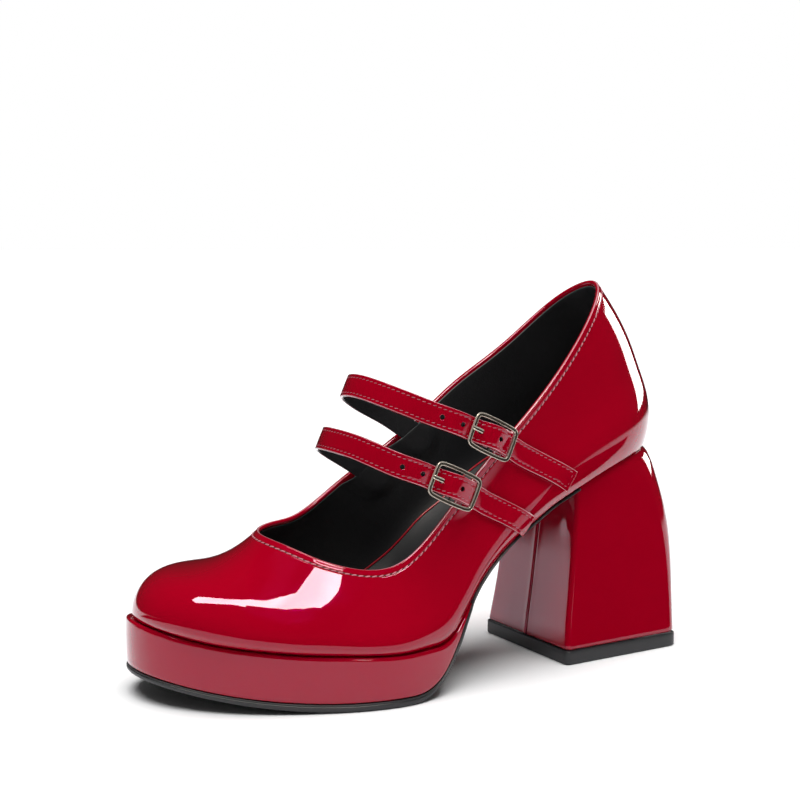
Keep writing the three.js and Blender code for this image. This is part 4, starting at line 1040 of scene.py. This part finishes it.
# ---- Studio ----
# A pale floor and soft light from above and in front. Two lit sheets and four dark cards are seen
# only as reflections in the patent leather; the floor too goes dark in them, far from the shoe.
# The camera stands where the photograph was taken from.
FLOOR_MIRRORED = 0.46, 0.92  # metres to the sides between which its mirrored image goes dark
FLOOR_AHEAD = 0.5  # along the shoe a metre counts as half
dull = {"Roughness": 0.9, "Specular_IOR_Level": 0.0}
floor_paint = surface("studio_floor", (0.98, 0.98, 0.98, 1), (0.97, 0.97, 0.97, 1), 2, **dull)
tree = floor_paint.node_tree
bsdf = tree.nodes["Principled BSDF"]
toned = bsdf.inputs["Base Color"].links[0].from_node
paths, place, squeeze, away, beyond, darkened = nodes_in(
    tree, "LightPath", "TexCoord", "VectorMath", "VectorMath", "MapRange", "Math")
dimmer, ends_dark = nodes_in(tree, "Mix", "Mix")
dimmer.data_type = ends_dark.data_type = "RGBA"
dimmer.inputs[6].default_value = (0.86, 0.86, 0.88, 1)  # as it lights the shoe
ends_dark.inputs[7].default_value = (0.01, 0.01, 0.01, 1)
squeeze.operation, away.operation, darkened.operation = "MULTIPLY", "LENGTH", "MULTIPLY"
squeeze.inputs[1].default_value = (FLOOR_AHEAD, 1, 1)
beyond.interpolation_type = "SMOOTHSTEP"
beyond.inputs["From Min"].default_value, beyond.inputs["From Max"].default_value = FLOOR_MIRRORED
wire(tree, (toned, "Colour", dimmer, 7), (paths, "Is Camera Ray", dimmer, "Factor"),
     (place, "Object", squeeze, 0), (squeeze, "Vector", away, 0), (away, "Value", beyond, "Value"),
     (beyond, "Result", darkened, 0), (paths, "Is Glossy Ray", darkened, 1),
     (darkened, 0, ends_dark, "Factor"), (dimmer, 2, ends_dark, 6),
     (ends_dark, 2, bsdf, "Base Color"))
CARD = (0.004, 0.004, 0.004, 1), (0.003, 0.003, 0.003, 1), 2
card_black = surface("black_card", *CARD, **dull)


def lit(name, strength):
    """A lit sheet's face: its own black, and an uneven warm glow."""
    m = surface(name, *CARD, **dull)
    glow = use(m, tone, Colour=(1, 1, 0.9, 1), Shade=(0.5, 0.42, 0.4, 1), Scale=2.6)
    bsdf = m.node_tree.nodes["Principled BSDF"]
    wire(m.node_tree, (glow, "Colour", bsdf, "Emission Color"))
    bsdf.inputs["Emission Strength"].default_value = strength
    return m


def sheet(name, corners, material, height=0, mirrored_only=True):
    """A flat sheet of the studio: corners in millimetres, or an outline in plan and its height."""
    ob = shape(name, [(*c, height)[:3] for c in corners], [range(len(corners))], [material])
    ob.visible_camera = ob.visible_diffuse = ob.visible_shadow = not mirrored_only
    ob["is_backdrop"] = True


FAR = 60000
CARD_HIGH, WINDOW_HIGH = 76, 1040  # the cards that trim the streak on the vamp; the window
TOE_CARD = [(253, -133), (300, -85), (318, -20), (293, 65), (235, 125), (190, 190), (300, 1200),
            (1500, 1500), (1500, -300), (600, -400)]
WINDOW = [(575, -170), (760, -145), (820, 10), (640, 200), (440, 400), (400, 520), (440, 640),
          (440, 800), (400, 1020), (340, 1160), (255, 1190), (60, 1060), (0, 1050), (-60, 1010),
          (-95, 875), (60, 873), (200, 805), (300, 700), (330, 600), (312, 500), (300, 360),
          (350, 240)]
ABOVE_STREAK = [(164, 26), (160.6, 33.3), (158.9, 36.1), (156.7, 39.7), (152.1, 43.2),
                (147.4, 39.1), (140.3, 35.6), (140.2, 28.3), (147.5, 15.2), (155, -16), (159, -14)]
BELOW_STREAK = [(168.8, 31.8), (163.1, 39.2), (159.5, 45.7), (156.3, 52.6), (150.5, 63),
                (141.3, 69.2), (134.7, 64.2), (130.2, 60.6), (125.5, 57.7), (122.7, 52.1),
                (120.2, 45), (112, 45), (106, 52), (112, 68), (133.6, 96.6), (160, 106.5),
                (193, 90.7), (177, 45.7)]
sheet("floor", [(-FAR, -FAR), (FAR, -FAR), (FAR, FAR), (-FAR, FAR)], floor_paint, 0, False)
sheet("heel_card", [(-80, 52, 0.5), (20, 52, 0.5), (20, 52, 76), (-80, 52, 76)], card_black)
sheet("toe_card", TOE_CARD, card_black, 0.5)
sheet("window", WINDOW, lit("window_light", 26), WINDOW_HIGH)
sheet("streak_card_above", ABOVE_STREAK, card_black, CARD_HIGH)
sheet("streak_card_below", BELOW_STREAK, card_black, CARD_HIGH)
sheet("behind", [(-1500, 145, 190), (-1500, -480, 190), (-1500, -480, 560), (-1500, 145, 560)],
      lit("behind_light", 14))

world = bpy.data.worlds.new("studio")
bpy.context.scene.world = world
world.use_nodes = True
tree = world.node_tree
tree.nodes.clear()
seen, glow, room, paths = nodes_in(tree, "Background", "Background", "Background", "LightPath")
by_gloss, by_camera, output = nodes_in(tree, "MixShader", "MixShader", "OutputWorld")
for node, strength in ((seen, 1.0), (glow, 0.1), (room, 0.012)):
    node.inputs["Color"].default_value = (1, 1, 1, 1)
    node.inputs["Strength"].default_value = strength
wire(tree, (paths, "Is Glossy Ray", by_gloss, 0), (glow, 0, by_gloss, 1), (room, 0, by_gloss, 2),
     (paths, "Is Camera Ray", by_camera, 0), (by_gloss, 0, by_camera, 1), (seen, 0, by_camera, 2),
     (by_camera, 0, output, 0))


def stand(ob, at, right, up, back):
    """Places a lamp or the camera at a point in millimetres, turned by its three axes."""
    ob.matrix_world = Matrix([(right[r], up[r], back[r], at[r] / 1000) for r in range(3)]
                             + [(0, 0, 0, 1)])


sun = bpy.data.lights.new("overhead", "SUN")
sun.energy, sun.angle = 3.9, math.radians(54)
sun_ob = add("overhead", sun)
sun_ob.visible_glossy = False
back = unit(np.array([0.05, 0.1, 1]))
side = unit(np.array([1.0, 0, 0]) - back * back[0])
stand(sun_ob, (0, 0, 1000), side, np.cross(back, side), back)

lens = bpy.data.cameras.new("camera")
lens.sensor_width, lens.lens = 36, 62.0955
lens.clip_start, lens.clip_end = 0.01, 200
camera = add("camera", lens)
stand(camera, (357.276, 452.814, 165.267), (-0.860315, 0.509764, 0),
      (-0.056189, -0.094829, 0.993907), (0.506657, 0.855072, 0.110226))
bpy.context.scene.camera = camera
bpy.context.scene.view_settings.view_transform = "Standard"

low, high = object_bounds()
